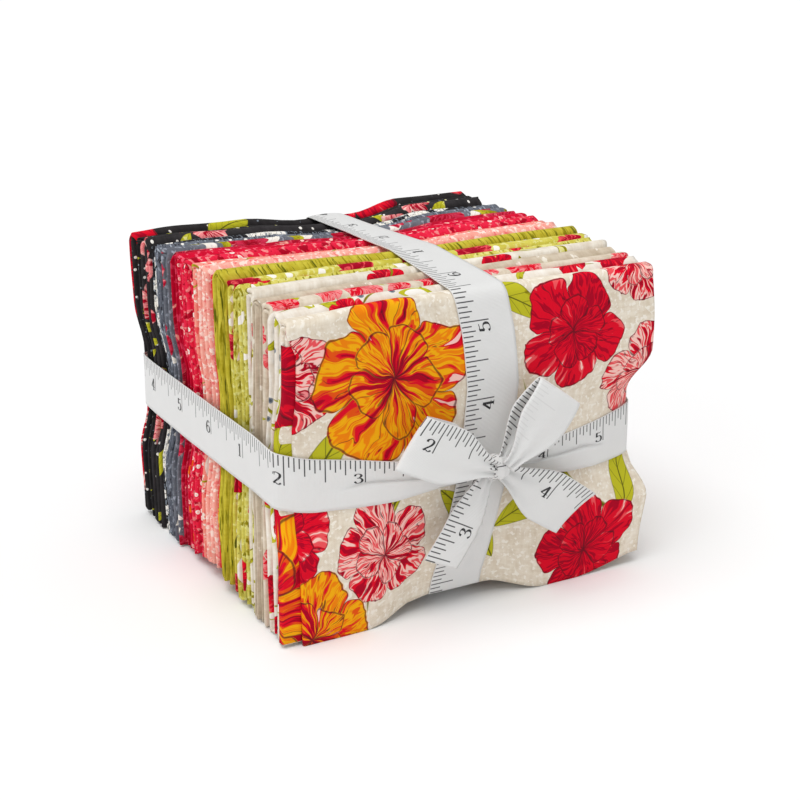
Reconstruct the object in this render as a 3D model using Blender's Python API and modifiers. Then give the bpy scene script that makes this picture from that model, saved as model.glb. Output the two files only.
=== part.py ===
"""Fat quarter bundle: twenty folded cloths that stand on edge, tied both ways with a ribbon and a bow.

Metres, +Z up, +X along the front face, +Y to the back. The origin is on the surface that the bundle
stands on, under the middle of its outline. Each cloth is folded in four: its outer layer goes up the
front, over the top and down the back, turns at the bottom and runs up and down again inside. The taut
ribbon squeezes the stack at its waist and across its middle, and follows the stack's convex hull.
"""

import math
from typing import NamedTuple

import bmesh
import bpy
import numpy as np

MM = 0.001
INCH = 0.0254

# The stack.
WIDTH = 5.5 * INCH
HEIGHT = 4.35 * INCH
CLOTH_GAP = 0.5 * MM
LAYER_GAP = 0.42 * MM
LAYERS = 4
INNER_END_RISE = 1.2 * MM

# The ribbon and where it runs.
RIBBON_WIDTH = 0.75 * INCH
RIBBON_THICKNESS = 1.0 * MM
RIBBON_CLEARANCE = 0.35 * MM
WAIST_HEIGHT = 52.5 * MM
WAIST_TILT = 2.5 * MM
FRONT_SAG = 3.2 * MM
FRONT_REACH = 62.0 * MM
FRONT_NARROWING = 0.55
# The upright ribbon's middle: heights up the front face, where it lies at each, and where at the back.
UPRIGHT_HEIGHTS = (0.0 * MM, 10.0 * MM, 50.0 * MM, 75.0 * MM, 92.0 * MM, 106.0 * MM)
UPRIGHT_FRONT = (-7.0 * MM, -6.5 * MM, 2.0 * MM, 4.0 * MM, 2.0 * MM, -1.0 * MM)
UPRIGHT_BACK = 6.0 * MM
# How much further than the grip the cloths' points count, where the upright ribbon's line is found.
UPRIGHT_LEEWAY = 6.0 * MM

# How hard the ribbon squeezes, each as the distance that a face moves inwards.
GRIP_HALF = 10.5 * MM
UPRIGHT_FADE = 24.0 * MM
WAIST_FADE = 18.0 * MM
END_PULL = 2.0 * MM
FRONT_RIGHT_PULL = 2.4 * MM
CORNER_PULL_FRONT = 9.0 * MM
CORNER_PULL_BACK = 4.0 * MM
EDGE_PULL = 4.5 * MM
TOP_DIP_FRONT = 1.2 * MM
TOP_DIP_BACK = 3.6 * MM
BOTTOM_RISE_FRONT = 5.1 * MM
BOTTOM_RISE_BACK = 3.6 * MM
# The front cloths' right ends curl up off the ground, from this share of the half width outwards.
CURL_RISE = 4.4 * MM
CURL_START = 0.55
# The top left corners of the stack droop, from this share of the half width outwards.
DROOP = 2.2 * MM
DROOP_START = 0.45
# The front cloths' ends are drawn in: the left ones towards the top, back to this share of the depth.
LEFT_TUCK = 4.0 * MM
LEFT_TUCK_SHARE = 0.6
RIGHT_TUCK = 2.6 * MM
RIGHT_TUCK_START = 0.5

# The bow.
KNOT_X = 2.0 * MM
KNOT_Z = 49.9 * MM
KNOT_HALF = (4.8 * MM, 3.7 * MM, 3.9 * MM)
KNOT_ROUNDING = 0.85
BOW_START = 4.9 * MM
BOW_SPREAD = 1.18
BOW_SEAT = 0.9 * MM
LOOP_LIFT = 0.42
LOOP_HALF_OPENING = 0.5
LOOP_START_ANGLE = 9
TAIL_LIFT = 0.25
TAIL_WAVES = 0.4

# How finely the ribbon bends.
BEND_STEP = math.radians(30)
LONGEST_STEP = 12.0 * MM
SHORTEST_STEP = 0.4 * MM

# How much further in each of the four layers' ends lies, in turn.
END_STEPS = (0.0 * MM, 0.9 * MM, 0.35 * MM, 1.3 * MM)


class Cloth(NamedTuple):
    """One folded cloth: its share of the depth, how far it falls short of the stack's box, its colour."""

    name: str
    depth: float
    top_drop: float
    foot: float
    left: float
    right: float
    colour: tuple


# Front to back. Lengths are in millimetres here.
CLOTHS = [
    #     name                       depth  top  foot left right  colour
    Cloth("cloth_01_linen_blossom", 6.9, 3.8, 0.0, 0.0, 0.0, (0.80, 0.75, 0.66)),
    Cloth("cloth_02_white_sprig", 6.7, 3.4, 0.6, 0.8, 0.8, (0.88, 0.85, 0.77)),
    Cloth("cloth_03_oat_rosebud", 6.4, 2.9, 0.0, 1.6, 0.6, (0.80, 0.74, 0.64)),
    Cloth("cloth_04_oat_plain", 5.8, 2.6, 0.4, 1.0, 1.6, (0.74, 0.68, 0.58)),
    Cloth("cloth_05_white_leaf", 6.4, 1.4, 1.2, 1.9, 0.8, (0.84, 0.84, 0.70)),
    Cloth("cloth_06_lime_streak", 5.8, 1.8, 1.4, 1.2, 1.7, (0.66, 0.68, 0.22)),
    Cloth("cloth_07_lime_dot", 6.0, 1.4, 2.0, 1.8, 0.4, (0.62, 0.64, 0.18)),
    Cloth("cloth_08_olive_plain", 7.5, 0.0, 3.6, 0.2, 0.9, (0.52, 0.52, 0.08)),
    Cloth("cloth_09_coral_leaf", 5.4, 2.6, 4.8, 1.8, 1.3, (0.82, 0.20, 0.20)),
    Cloth("cloth_10_peach_fleck", 7.1, 1.0, 4.6, 0.9, 0.3, (0.92, 0.56, 0.50)),
    Cloth("cloth_11_peach_gold", 6.2, 2.0, 4.2, 1.5, 1.1, (0.90, 0.46, 0.40)),
    Cloth("cloth_12_rose_dot", 6.4, 1.0, 3.4, 0.7, 0.2, (0.78, 0.13, 0.22)),
    Cloth("cloth_13_crimson_spark", 6.4, 1.2, 2.2, 1.3, 1.0, (0.66, 0.05, 0.14)),
    Cloth("cloth_14_crimson_petal", 6.7, 1.8, 1.4, 2.0, 0.5, (0.56, 0.02, 0.11)),
    Cloth("cloth_15_slate_bloom", 6.4, 1.4, 0.6, 0.6, 1.4, (0.42, 0.45, 0.47)),
    Cloth("cloth_16_slate_dot", 6.0, 1.6, 0.0, 1.1, 0.7, (0.24, 0.27, 0.31)),
    Cloth("cloth_17_ink_sketch", 6.0, 2.2, 0.0, 1.6, 1.8, (0.40, 0.40, 0.37)),
    Cloth("cloth_18_charcoal_bud", 7.1, 0.6, 0.4, 0.5, 0.8, (0.10, 0.09, 0.11)),
    Cloth("cloth_19_black_dot", 6.0, 1.6, 0.0, 1.2, 1.5, (0.04, 0.04, 0.045)),
    Cloth("cloth_20_black_rose", 6.4, 0.4, 1.0, 0.9, 0.4, (0.42, 0.10, 0.11)),
]
DEPTH = sum(cloth.depth for cloth in CLOTHS) * MM - CLOTH_GAP
RIBBON_COLOUR = (0.88, 0.88, 0.88)


class Strip(NamedTuple):
    """A loop or a tail of the bow: where its far end lies from the knot, and how it stands and turns."""

    name: str
    across: float
    up: float
    bulge: float
    turn: float
    is_loop: bool


# Millimetres, and degrees by which the far end is turned from square to the strip.
BOW = [
    #     name             across    up  bulge   turn  is_loop
    Strip("bow_loop_left", -32.2, 14.6, 11.0, -12.0, True),
    Strip("bow_loop_right", 21.5, 23.2, 13.0, 10.0, True),
    Strip("bow_tail_left", -19.6, -29.5, 2.6, 9.0, False),
    Strip("bow_tail_right", 31.4, -22.0, 3.4, -20.0, False),
]


def clear_scene():
    """Remove every object."""
    for obj in list(bpy.data.objects):
        bpy.data.objects.remove(obj, do_unlink=True)


def make_collection(name):
    """A new collection under the scene's own."""
    collection = bpy.data.collections.new(name)
    bpy.context.scene.collection.children.link(collection)
    return collection


def make_material(name, colour, roughness):
    """A plain Principled finish."""
    material = bpy.data.materials.new(name)
    material.use_nodes = True
    surface = material.node_tree.nodes["Principled BSDF"]
    surface.inputs["Base Color"].default_value = (*colour, 1.0)
    surface.inputs["Roughness"].default_value = roughness
    surface.inputs["Metallic"].default_value = 0.0
    return material


def grip(distance, fade):
    """1 under the ribbon, easing to 0 over the fade beside it."""
    beside = np.clip((np.abs(distance) - GRIP_HALF) / fade, 0.0, 1.0)
    return 0.5 * (1.0 + np.cos(math.pi * beside))


def ease(low, high, value):
    """0 below low, 1 above high, and a smooth step between them."""
    part = np.clip((value - low) / (high - low), 0.0, 1.0)
    return part * part * (3.0 - 2.0 * part)


def upright_x(back, z):
    """Where the upright ribbon's middle runs: back is -1 at the front face and 1 at the back one."""
    rear = (back + 1.0) / 2
    front = np.interp(z, UPRIGHT_HEIGHTS, UPRIGHT_FRONT)
    return front * (1.0 - rear) + UPRIGHT_BACK * rear


def waist_z(x):
    """The height that the waist ribbon grips the stack at: it runs lower at the right end."""
    return WAIST_HEIGHT - WAIST_TILT * x / (WIDTH / 2)


def squeeze(points):
    """Move points of the untied stack to where the taut ribbon pulls them.

    The waist ribbon draws the ends in and bends the outer cloths' ends towards the middle. The
    upright ribbon presses the top down, lifts the bottom and bends in the outer cloths' edges. The
    front cloths' right ends curl up, the top left corners droop, and the front ends are drawn in.
    """
    x, y, z = points.T
    side = x / (WIDTH / 2)
    back = y / (DEPTH / 2)
    level = z / (HEIGHT / 2) - 1.0
    waist = grip(z - waist_z(x), WAIST_FADE)
    upright = grip(x - upright_x(back, z), UPRIGHT_FADE)
    rear = (back + 1.0) / 2
    dip = TOP_DIP_FRONT + (TOP_DIP_BACK - TOP_DIP_FRONT) * rear
    rise = BOTTOM_RISE_FRONT + (BOTTOM_RISE_BACK - BOTTOM_RISE_FRONT) * rear
    end_pull = END_PULL + FRONT_RIGHT_PULL * np.clip(side, 0.0, None) * (1.0 - rear) ** 3
    corner = CORNER_PULL_FRONT + (CORNER_PULL_BACK - CORNER_PULL_FRONT) * rear
    corner *= waist * np.abs(side) ** 3
    edge = EDGE_PULL * upright * np.abs(level) ** 3
    high, low = np.clip(level, 0.0, None), np.clip(-level, 0.0, None)
    lift = rise * low - dip * high
    curl = CURL_RISE * ease(CURL_START, 1.0, side) * (1.0 - rear) * low
    droop = DROOP * ease(DROOP_START, 1.0, -side) * high * back**2
    left_tuck = LEFT_TUCK * np.clip(-side, 0.0, None) ** 2 * z / HEIGHT
    left_tuck *= np.clip(1.0 - rear / LEFT_TUCK_SHARE, 0.0, 1.0)
    right_tuck = RIGHT_TUCK * np.clip(side, 0.0, None) ** 3 * (1.0 - rear) ** 3
    right_tuck *= ease(RIGHT_TUCK_START, 1.0, np.abs(level))
    return np.column_stack([
        x - side * waist * end_pull + left_tuck - right_tuck,
        y - back * (corner + edge),
        z + upright * lift + curl - droop,
    ])


def arc(centre_y, centre_z, radius, start, end, steps):
    """Points round a bend, from one angle to the other, both included."""
    angles = np.radians(np.linspace(start, end, steps + 1))
    return [(centre_y + radius * math.cos(a), centre_z + radius * math.sin(a)) for a in angles]


def fold_path(cloth, front, waist):
    """The middle line of the folded cloth in the YZ plane, and the layer that each point belongs to.

    Layer 0 is the front run, 3 the back run, and 2 and 1 the runs inside them. Each run has points
    at the edges of the waist ribbon's grip and of its fade.
    """
    sheet = (cloth.depth * MM - CLOTH_GAP - (LAYERS - 1) * LAYER_GAP) / LAYERS
    pitch = sheet + LAYER_GAP
    lines = [front + sheet / 2 + pitch * layer for layer in range(LAYERS)]
    middle = (lines[0] + lines[3]) / 2
    outer, inner = 1.5 * pitch, 0.5 * pitch
    foot = cloth.foot * MM
    crown = HEIGHT - cloth.top_drop * MM - sheet / 2 - outer
    # The turn at the bottom has three flats, and rests on the middle one.
    heel = foot + sheet / 2 + inner * math.cos(math.radians(30))
    rise = [
        waist - GRIP_HALF - WAIST_FADE,
        waist - GRIP_HALF,
        waist + GRIP_HALF,
        waist + GRIP_HALF + WAIST_FADE,
    ]
    path = [(lines[0], foot, 0.0)]
    path += [(lines[0], z, 0.0) for z in rise]
    over = arc(middle, crown, outer, 180, 0, 4)
    path += [(y, z, 3.0 * i / 4) for i, (y, z) in enumerate(over)]
    path += [(lines[3], z, 3.0) for z in reversed(rise)]
    turn = arc((lines[3] + lines[2]) / 2, heel, inner, 0, -180, 3)
    path += [(y, z, 3.0 - i / 3) for i, (y, z) in enumerate(turn)]
    path += [(lines[2], z, 2.0) for z in rise]
    inside = arc(middle, crown, inner, 0, 180, 2)
    path += [(y, z, 2.0 - i / 2) for i, (y, z) in enumerate(inside)]
    path += [(lines[1], z, 1.0) for z in reversed(rise)]
    path += [(lines[1], foot + INNER_END_RISE, 1.0)]
    return path, sheet


def end_step(layer, turn):
    """How much further in a layer's end lies, between the steps of the whole layers."""
    steps = [END_STEPS[(i + turn) % LAYERS] for i in range(LAYERS)]
    return float(np.interp(layer, range(LAYERS), steps))


def grid_mesh(name, rows, closed=False):
    """A mesh over rows of points, joined end to end where the rows close on themselves.

    Each square is cut along the diagonal that climbs to the right, whichever way its row runs, so
    that neighbouring layers bend along the same lines and stay apart.
    """
    mesh = bpy.data.meshes.new(name)
    work = bmesh.new()
    grid = [[work.verts.new(point) for point in row] for row in rows]
    if closed:
        grid.append(grid[0])
    for near, far in zip(grid, grid[1:]):
        for i in range(len(near) - 1):
            a, b, c, d = near[i], near[i + 1], far[i + 1], far[i]
            if b.co.z > a.co.z:
                work.faces.new((a, b, c))
                work.faces.new((a, c, d))
            else:
                work.faces.new((a, b, d))
                work.faces.new((b, c, d))
    bmesh.ops.recalc_face_normals(work, faces=work.faces)
    work.to_mesh(mesh)
    work.free()
    return mesh


def thicken(mesh, thickness):
    """The closed solid of a surface: Solidify, half of the thickness each side."""
    shape = bpy.data.objects.new(mesh.name, mesh)
    bpy.context.scene.collection.objects.link(shape)
    shell = shape.modifiers.new("Thickness", "SOLIDIFY")
    shell.thickness = thickness
    shell.offset = 0.0
    shell.use_even_offset = True
    graph = bpy.context.evaluated_depsgraph_get()
    solid = bpy.data.meshes.new_from_object(shape.evaluated_get(graph))
    name = mesh.name
    bpy.data.objects.remove(shape, do_unlink=True)
    bpy.data.meshes.remove(mesh)
    solid.name = name
    return solid


def points_of(mesh):
    """A mesh's points as an array."""
    points = np.empty(len(mesh.vertices) * 3)
    mesh.vertices.foreach_get("co", points)
    return points.reshape(-1, 3)


def place(mesh, collection, material):
    """Put a finished mesh in the collection as an object."""
    obj = bpy.data.objects.new(mesh.name, mesh)
    obj.data.materials.clear()
    obj.data.materials.append(material)
    collection.objects.link(obj)
    return obj


def make_cloth(cloth, front, turn):
    """One cloth: its folded middle line carried along X, thickened, then squeezed by the ribbon."""
    path, sheet = fold_path(cloth, front, WAIST_HEIGHT)
    middle_x = float(upright_x((front + cloth.depth * MM / 2) / (DEPTH / 2), HEIGHT))
    inner_stations = [
        middle_x - GRIP_HALF - UPRIGHT_FADE,
        middle_x - GRIP_HALF,
        middle_x + GRIP_HALF,
        middle_x + GRIP_HALF + UPRIGHT_FADE,
    ]
    left = [-WIDTH / 2 + cloth.left * MM + end_step(layer, turn) for _, _, layer in path]
    right = [WIDTH / 2 - cloth.right * MM - end_step(layer, turn + 1) for _, _, layer in path]
    rows = []
    for xs in [left, *[[x] * len(path) for x in inner_stations], right]:
        here, _ = fold_path(cloth, front, float(waist_z(xs[0])))
        rows.append([(x, y, z) for x, (y, z, _) in zip(xs, here)])
    mesh = thicken(grid_mesh(cloth.name, rows), sheet)
    points = points_of(mesh)
    # The cloth stands flat on its foot.
    points[:, 2] = np.maximum(points[:, 2], cloth.foot * MM)
    mesh.vertices.foreach_set("co", squeeze(points).ravel())
    return mesh


def convex_hull(points):
    """The convex hull of points in a plane, anticlockwise."""
    ordered = sorted({(round(float(u), 7), round(float(v), 7)) for u, v in points})

    def half(sequence):
        chain = []
        for u, v in sequence:
            while len(chain) > 1:
                (u0, v0), (u1, v1) = chain[-2:]
                if (u1 - u0) * (v - v0) - (v1 - v0) * (u - u0) > 0:
                    break
                chain.pop()
            chain.append((u, v))
        return chain[:-1]

    return half(ordered) + half(reversed(ordered))


def around(hull, offset):
    """The line at a distance outside a hull, with a round bend at each of its corners."""
    line = []
    count = len(hull)
    for i, (u, v) in enumerate(hull):
        before, after = hull[i - 1], hull[(i + 1) % count]
        start = math.atan2(-(u - before[0]), v - before[1])
        end = math.atan2(-(after[0] - u), after[1] - v)
        sweep = (end - start) % (2 * math.pi)
        parts = max(1, math.ceil(sweep / BEND_STEP))
        for k in range(parts + 1):
            angle = start + sweep * k / parts
            line.append((u + offset * math.cos(angle), v + offset * math.sin(angle)))
    return evened(line)


def evened(line):
    """A closed line with its crowded points thinned out and its long straights divided."""
    kept = [line[0]]
    for point in line[1:]:
        if math.dist(point, kept[-1]) > SHORTEST_STEP:
            kept.append(point)
    if math.dist(kept[0], kept[-1]) < SHORTEST_STEP:
        kept.pop()
    finer = []
    for (u0, v0), (u1, v1) in zip(kept, kept[1:] + kept[:1]):
        parts = max(1, math.ceil(math.dist((u0, v0), (u1, v1)) / LONGEST_STEP))
        finer += [(u0 + (u1 - u0) * k / parts, v0 + (v1 - v0) * k / parts) for k in range(parts)]
    return finer


def waist_edges(x, y):
    """The waist ribbon's lower and upper edges: across the front it sags and narrows to the knot."""
    reach = max(0.0, 1.0 - abs(x - KNOT_X) / FRONT_REACH) if y < 0 else 0.0
    middle = float(waist_z(x)) - FRONT_SAG * float(ease(0.0, 1.0, reach))
    half = RIBBON_WIDTH / 2 * (1.0 - FRONT_NARROWING * reach)
    return middle - half, middle + half


def make_waist_ribbon(stack):
    """The ribbon round the stack's waist, and the line that it follows in plan."""
    # The cloth between two rows of its points is straight, so the rows at the grip's edges count.
    level = np.abs(stack[:, 2] - waist_z(stack[:, 0])) < GRIP_HALF + FRONT_SAG
    hull = convex_hull(stack[level][:, :2])
    line = around(hull, RIBBON_CLEARANCE + RIBBON_THICKNESS / 2)
    rows = [[(x, y, z) for z in waist_edges(x, y)] for x, y in line]
    mesh = grid_mesh("ribbon_waist", rows, closed=True)
    return thicken(mesh, RIBBON_THICKNESS), line


def make_upright_ribbon(stack, waist_line):
    """The ribbon over the top and under the bottom, outside the waist ribbon where they cross."""
    back = stack[:, 1] / (DEPTH / 2)
    beside = np.abs(stack[:, 0] - upright_x(back, stack[:, 2]))
    near = stack[beside < GRIP_HALF + UPRIGHT_LEEWAY][:, 1:]
    crossings = []
    for x, y in waist_line:
        if abs(x - float(upright_x(y / (DEPTH / 2), WAIST_HEIGHT))) < RIBBON_WIDTH:
            out = math.copysign(RIBBON_THICKNESS / 2, y)
            crossings += [(y + out, z) for z in waist_edges(x, y)]
    hull = convex_hull(np.vstack([near, crossings]))
    line = around(hull, RIBBON_CLEARANCE + RIBBON_THICKNESS / 2)
    rows = []
    for y, z in line:
        middle = float(upright_x(np.clip(y / (DEPTH / 2), -1.0, 1.0), z))
        rows.append([(middle + RIBBON_WIDTH * part, y, z) for part in (-0.5, 0.5)])
    mesh = grid_mesh("ribbon_upright", rows, closed=True)
    return thicken(mesh, RIBBON_THICKNESS), line


def make_knot(seat):
    """The knot: a small pillow, seated on the upright ribbon."""
    mesh = bpy.data.meshes.new("bow_knot")
    work = bmesh.new()
    bmesh.ops.create_cube(work, size=2.0)
    bmesh.ops.bevel(
        work,
        geom=work.edges[:],
        offset=KNOT_ROUNDING,
        segments=4,
        profile=0.5,
        affect="EDGES",
    )
    middle = (KNOT_X, seat - KNOT_HALF[1], KNOT_Z)
    for vert in work.verts:
        vert.co = [centre + half * part for centre, half, part in zip(middle, KNOT_HALF, vert.co)]
    work.to_mesh(mesh)
    work.free()
    return mesh


def strip_line(strip, length):
    """A strip's middle line, as distances along it and off the seat.

    A loop is a flat teardrop: out on the far side from the cloth, round its end and back beneath.
    A tail is one low wave.
    """
    bulge = strip.bulge * MM
    run = length - BOW_START
    if strip.is_loop:
        angles = np.radians(np.linspace(LOOP_START_ANGLE, 180 - LOOP_START_ANGLE, 14))
        along = BOW_START + run * (np.sin(angles) ** 2 - math.sin(angles[0]) ** 2)
        opening = LOOP_HALF_OPENING * np.cos(angles) * np.sqrt(np.sin(angles))
        return along, BOW_SEAT + bulge * (LOOP_LIFT + opening)
    part = np.linspace(0.0, 1.0, 8)
    wave = np.sin(2 * math.pi * TAIL_WAVES * part)
    return BOW_START + run * part, BOW_SEAT + bulge * (TAIL_LIFT + (1 - TAIL_LIFT) * wave)


def make_strip(strip, seat):
    """A loop or tail: its middle line, widened from the knot to the ribbon's full width."""
    far = np.array([strip.across, 0.0, strip.up]) * MM
    length = float(np.linalg.norm(far))
    ahead = far / length
    square = math.atan2(ahead[0], -ahead[2])
    off_face = np.array([0.0, -1.0, 0.0])
    knot = np.array([KNOT_X, seat, KNOT_Z])
    rows = []
    for along, off in zip(*strip_line(strip, length)):
        half = min(RIBBON_WIDTH, BOW_SPREAD * along) / 2
        angle = square + math.radians(strip.turn) * (along - BOW_START) / (length - BOW_START)
        wide = np.array([math.cos(angle), 0.0, math.sin(angle)])
        middle = knot + ahead * along + off_face * off
        rows.append([tuple(middle + wide * half * part) for part in (-1.0, -0.34, 0.34, 1.0)])
    return thicken(grid_mesh(strip.name, rows), RIBBON_THICKNESS)


def stand_on_origin(objects):
    """Move everything so that the origin is under the middle of the outline."""
    points = np.vstack([points_of(obj.data) for obj in objects])
    low, high = points.min(axis=0), points.max(axis=0)
    shift = np.array([(low[0] + high[0]) / 2, (low[1] + high[1]) / 2, low[2]])
    for obj in objects:
        moved = points_of(obj.data) - shift
        obj.data.vertices.foreach_set("co", moved.ravel())
        obj.data.update()
    print("the stack's own middle lies at", [round(float(-part) * 1000, 3) for part in shift], "mm")


def main():
    clear_scene()
    bundle = make_collection("fat_quarter_bundle")
    objects = []
    front = -DEPTH / 2
    for turn, cloth in enumerate(CLOTHS):
        mesh = make_cloth(cloth, front, turn)
        material = make_material(cloth.name, cloth.colour, 0.9)
        objects.append(place(mesh, bundle, material))
        front += cloth.depth * MM
    stack = np.vstack([points_of(obj.data) for obj in objects])

    satin = make_material("ribbon", RIBBON_COLOUR, 0.45)
    waist, waist_line = make_waist_ribbon(stack)
    upright, upright_line = make_upright_ribbon(stack, waist_line)
    objects += [place(waist, bundle, satin), place(upright, bundle, satin)]

    foremost = min(y for y, z in upright_line if abs(z - KNOT_Z) < RIBBON_WIDTH)
    seat = foremost - RIBBON_THICKNESS / 2 - RIBBON_CLEARANCE
    objects.append(place(make_knot(seat), bundle, satin))
    objects += [place(make_strip(strip, seat), bundle, satin) for strip in BOW]
    stand_on_origin(objects)


main()
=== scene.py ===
"""The looks of a fat quarter bundle: twenty folded cottons on edge, tied with a ruler ribbon and a bow.

Metres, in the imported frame: +X along the front cloth, +Y to the back, +Z up. Cloth and ribbon are
surfaces of two parameters, worked out with numpy in the untied stack and then moved to where the taut
ribbon pulls them. Prints are node groups on each piece's own UV map, which is in metres of cloth.
"""

import logging
import math
from collections.abc import Mapping, Sequence
from dataclasses import dataclass
from enum import Enum
from functools import partial

import bpy
import numpy as np
from mathutils import Matrix, Vector

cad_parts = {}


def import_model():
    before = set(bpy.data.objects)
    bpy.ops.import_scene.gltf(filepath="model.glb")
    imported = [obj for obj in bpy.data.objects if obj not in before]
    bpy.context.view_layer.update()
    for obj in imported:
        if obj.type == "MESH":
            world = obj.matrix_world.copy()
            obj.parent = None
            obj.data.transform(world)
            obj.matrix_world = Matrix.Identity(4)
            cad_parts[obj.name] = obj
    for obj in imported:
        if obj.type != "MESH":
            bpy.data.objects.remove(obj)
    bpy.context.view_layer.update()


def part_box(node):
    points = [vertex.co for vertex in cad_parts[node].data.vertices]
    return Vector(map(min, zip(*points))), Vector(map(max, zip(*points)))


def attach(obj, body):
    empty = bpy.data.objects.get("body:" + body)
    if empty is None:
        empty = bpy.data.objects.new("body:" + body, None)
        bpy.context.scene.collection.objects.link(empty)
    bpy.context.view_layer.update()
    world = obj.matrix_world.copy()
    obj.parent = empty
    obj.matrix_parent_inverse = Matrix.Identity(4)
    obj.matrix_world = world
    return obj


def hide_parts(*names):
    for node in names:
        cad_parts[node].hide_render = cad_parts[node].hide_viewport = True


LOG = logging.getLogger("fat_quarter_bundle")
UV_NAME = "cloth"
MM = 0.001
INCH = 0.0254
TAU = 2.0 * math.pi
PLY_THICKNESS = 0.26 * MM
TAPE_WIDTH = 0.75 * INCH
TAPE_THICKNESS = 0.35 * MM
TAPE_STEP = 1.6 * MM
KNOT_WRAP = 0.03

Array = np.ndarray
Colour = tuple[float, float, float]
Material = bpy.types.Material
Piece = bpy.types.Object

# Shapes


def smooth(low: float, high: float, value: Array) -> Array:
    """0 below low, 1 above high, and the cubic 3t^2 - 2t^3 between them."""
    t = np.clip((value - low) / (high - low), 0.0, 1.0)
    return t * t * (3.0 - 2.0 * t)


def rounded(angle: Array, power: float) -> tuple[Array, Array]:
    """Cosines and sines of the angles, drawn towards a square by raising them to a power under 1."""
    c, s = np.cos(angle), np.sin(angle)
    return np.sign(c) * np.abs(c) ** power, np.sign(s) * np.abs(s) ** power


def distances(points: Array) -> Array:
    """How far along a line of points each one lies."""
    return np.concatenate([[0.0], np.cumsum(np.linalg.norm(np.diff(points, axis=0), axis=1))])


def unit(vectors: Array) -> Array:
    """The vectors, each divided by its length."""
    return vectors / np.maximum(np.linalg.norm(vectors, axis=-1, keepdims=True), 1e-12)


def gridded(*parts: Array) -> Array:
    """Coordinates that broadcast together, as one grid of points."""
    return np.stack(np.broadcast_arrays(*parts), axis=-1)


def quads(grid: Array) -> tuple[Array, ...]:
    """What a grid holds at the four corners of each of its squares."""
    return grid[:-1, :-1], grid[1:, :-1], grid[1:, 1:], grid[:-1, 1:]


def ripples(a: Array, b: Array, seed: int, longest: float, shortest: float, count: int) -> Array:
    """Smooth unevenness over two coordinates: a sum of sines of falling length and height.

    Args:
        a, b: The coordinates, in any unit that longest and shortest share.
        seed: Fixes the directions and phases.
        longest, shortest: The lengths of the first wave and the last.
        count: How many waves are added.

    Returns:
        Values from -1 to 1, of the arrays' common shape.
    """
    draw = np.random.default_rng(seed)
    total, heights = np.zeros(np.broadcast(a, b).shape), 0.0
    for length in np.geomspace(longest, shortest, count):
        heading, phase = draw.uniform(0.0, TAU, 2)
        height = length / longest
        total += height * np.sin(TAU * (a * math.cos(heading) + b * math.sin(heading)) / length + phase)
        heights += height
    return total / heights


def hull_line(points: Array, offset: float, directions: int = 1440) -> Array:
    """The closed line at an offset outside the convex hull of points in a plane.

    For each direction, the farthest point that way, moved out along it. Straights and round corners
    both follow from that, and the line is then divided evenly.

    Args:
        points: The points, as (u, v).
        offset: How far outside.
        directions: How many directions.

    Returns:
        The line's points, anticlockwise from the direction of -v.
    """
    angle = -math.pi / 2 + TAU * np.arange(directions) / directions
    heading = gridded(np.cos(angle), np.sin(angle))
    line = points[np.argmax(points @ heading.T, axis=0)] + offset * heading
    loop = np.concatenate([line, line[:1]])
    length = distances(loop)
    even = np.linspace(0.0, length[-1], int(length[-1] / TAPE_STEP) + 1)[:-1]
    return gridded(*(np.interp(even, length, side) for side in loop.T))


def outward(line: Array) -> Array:
    """The outward unit normals of a closed anticlockwise line: its heading, turned a quarter."""
    along = unit(np.roll(line, -1, axis=0) - np.roll(line, 1, axis=0))
    return gridded(along[:, 1], -along[:, 0])


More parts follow.
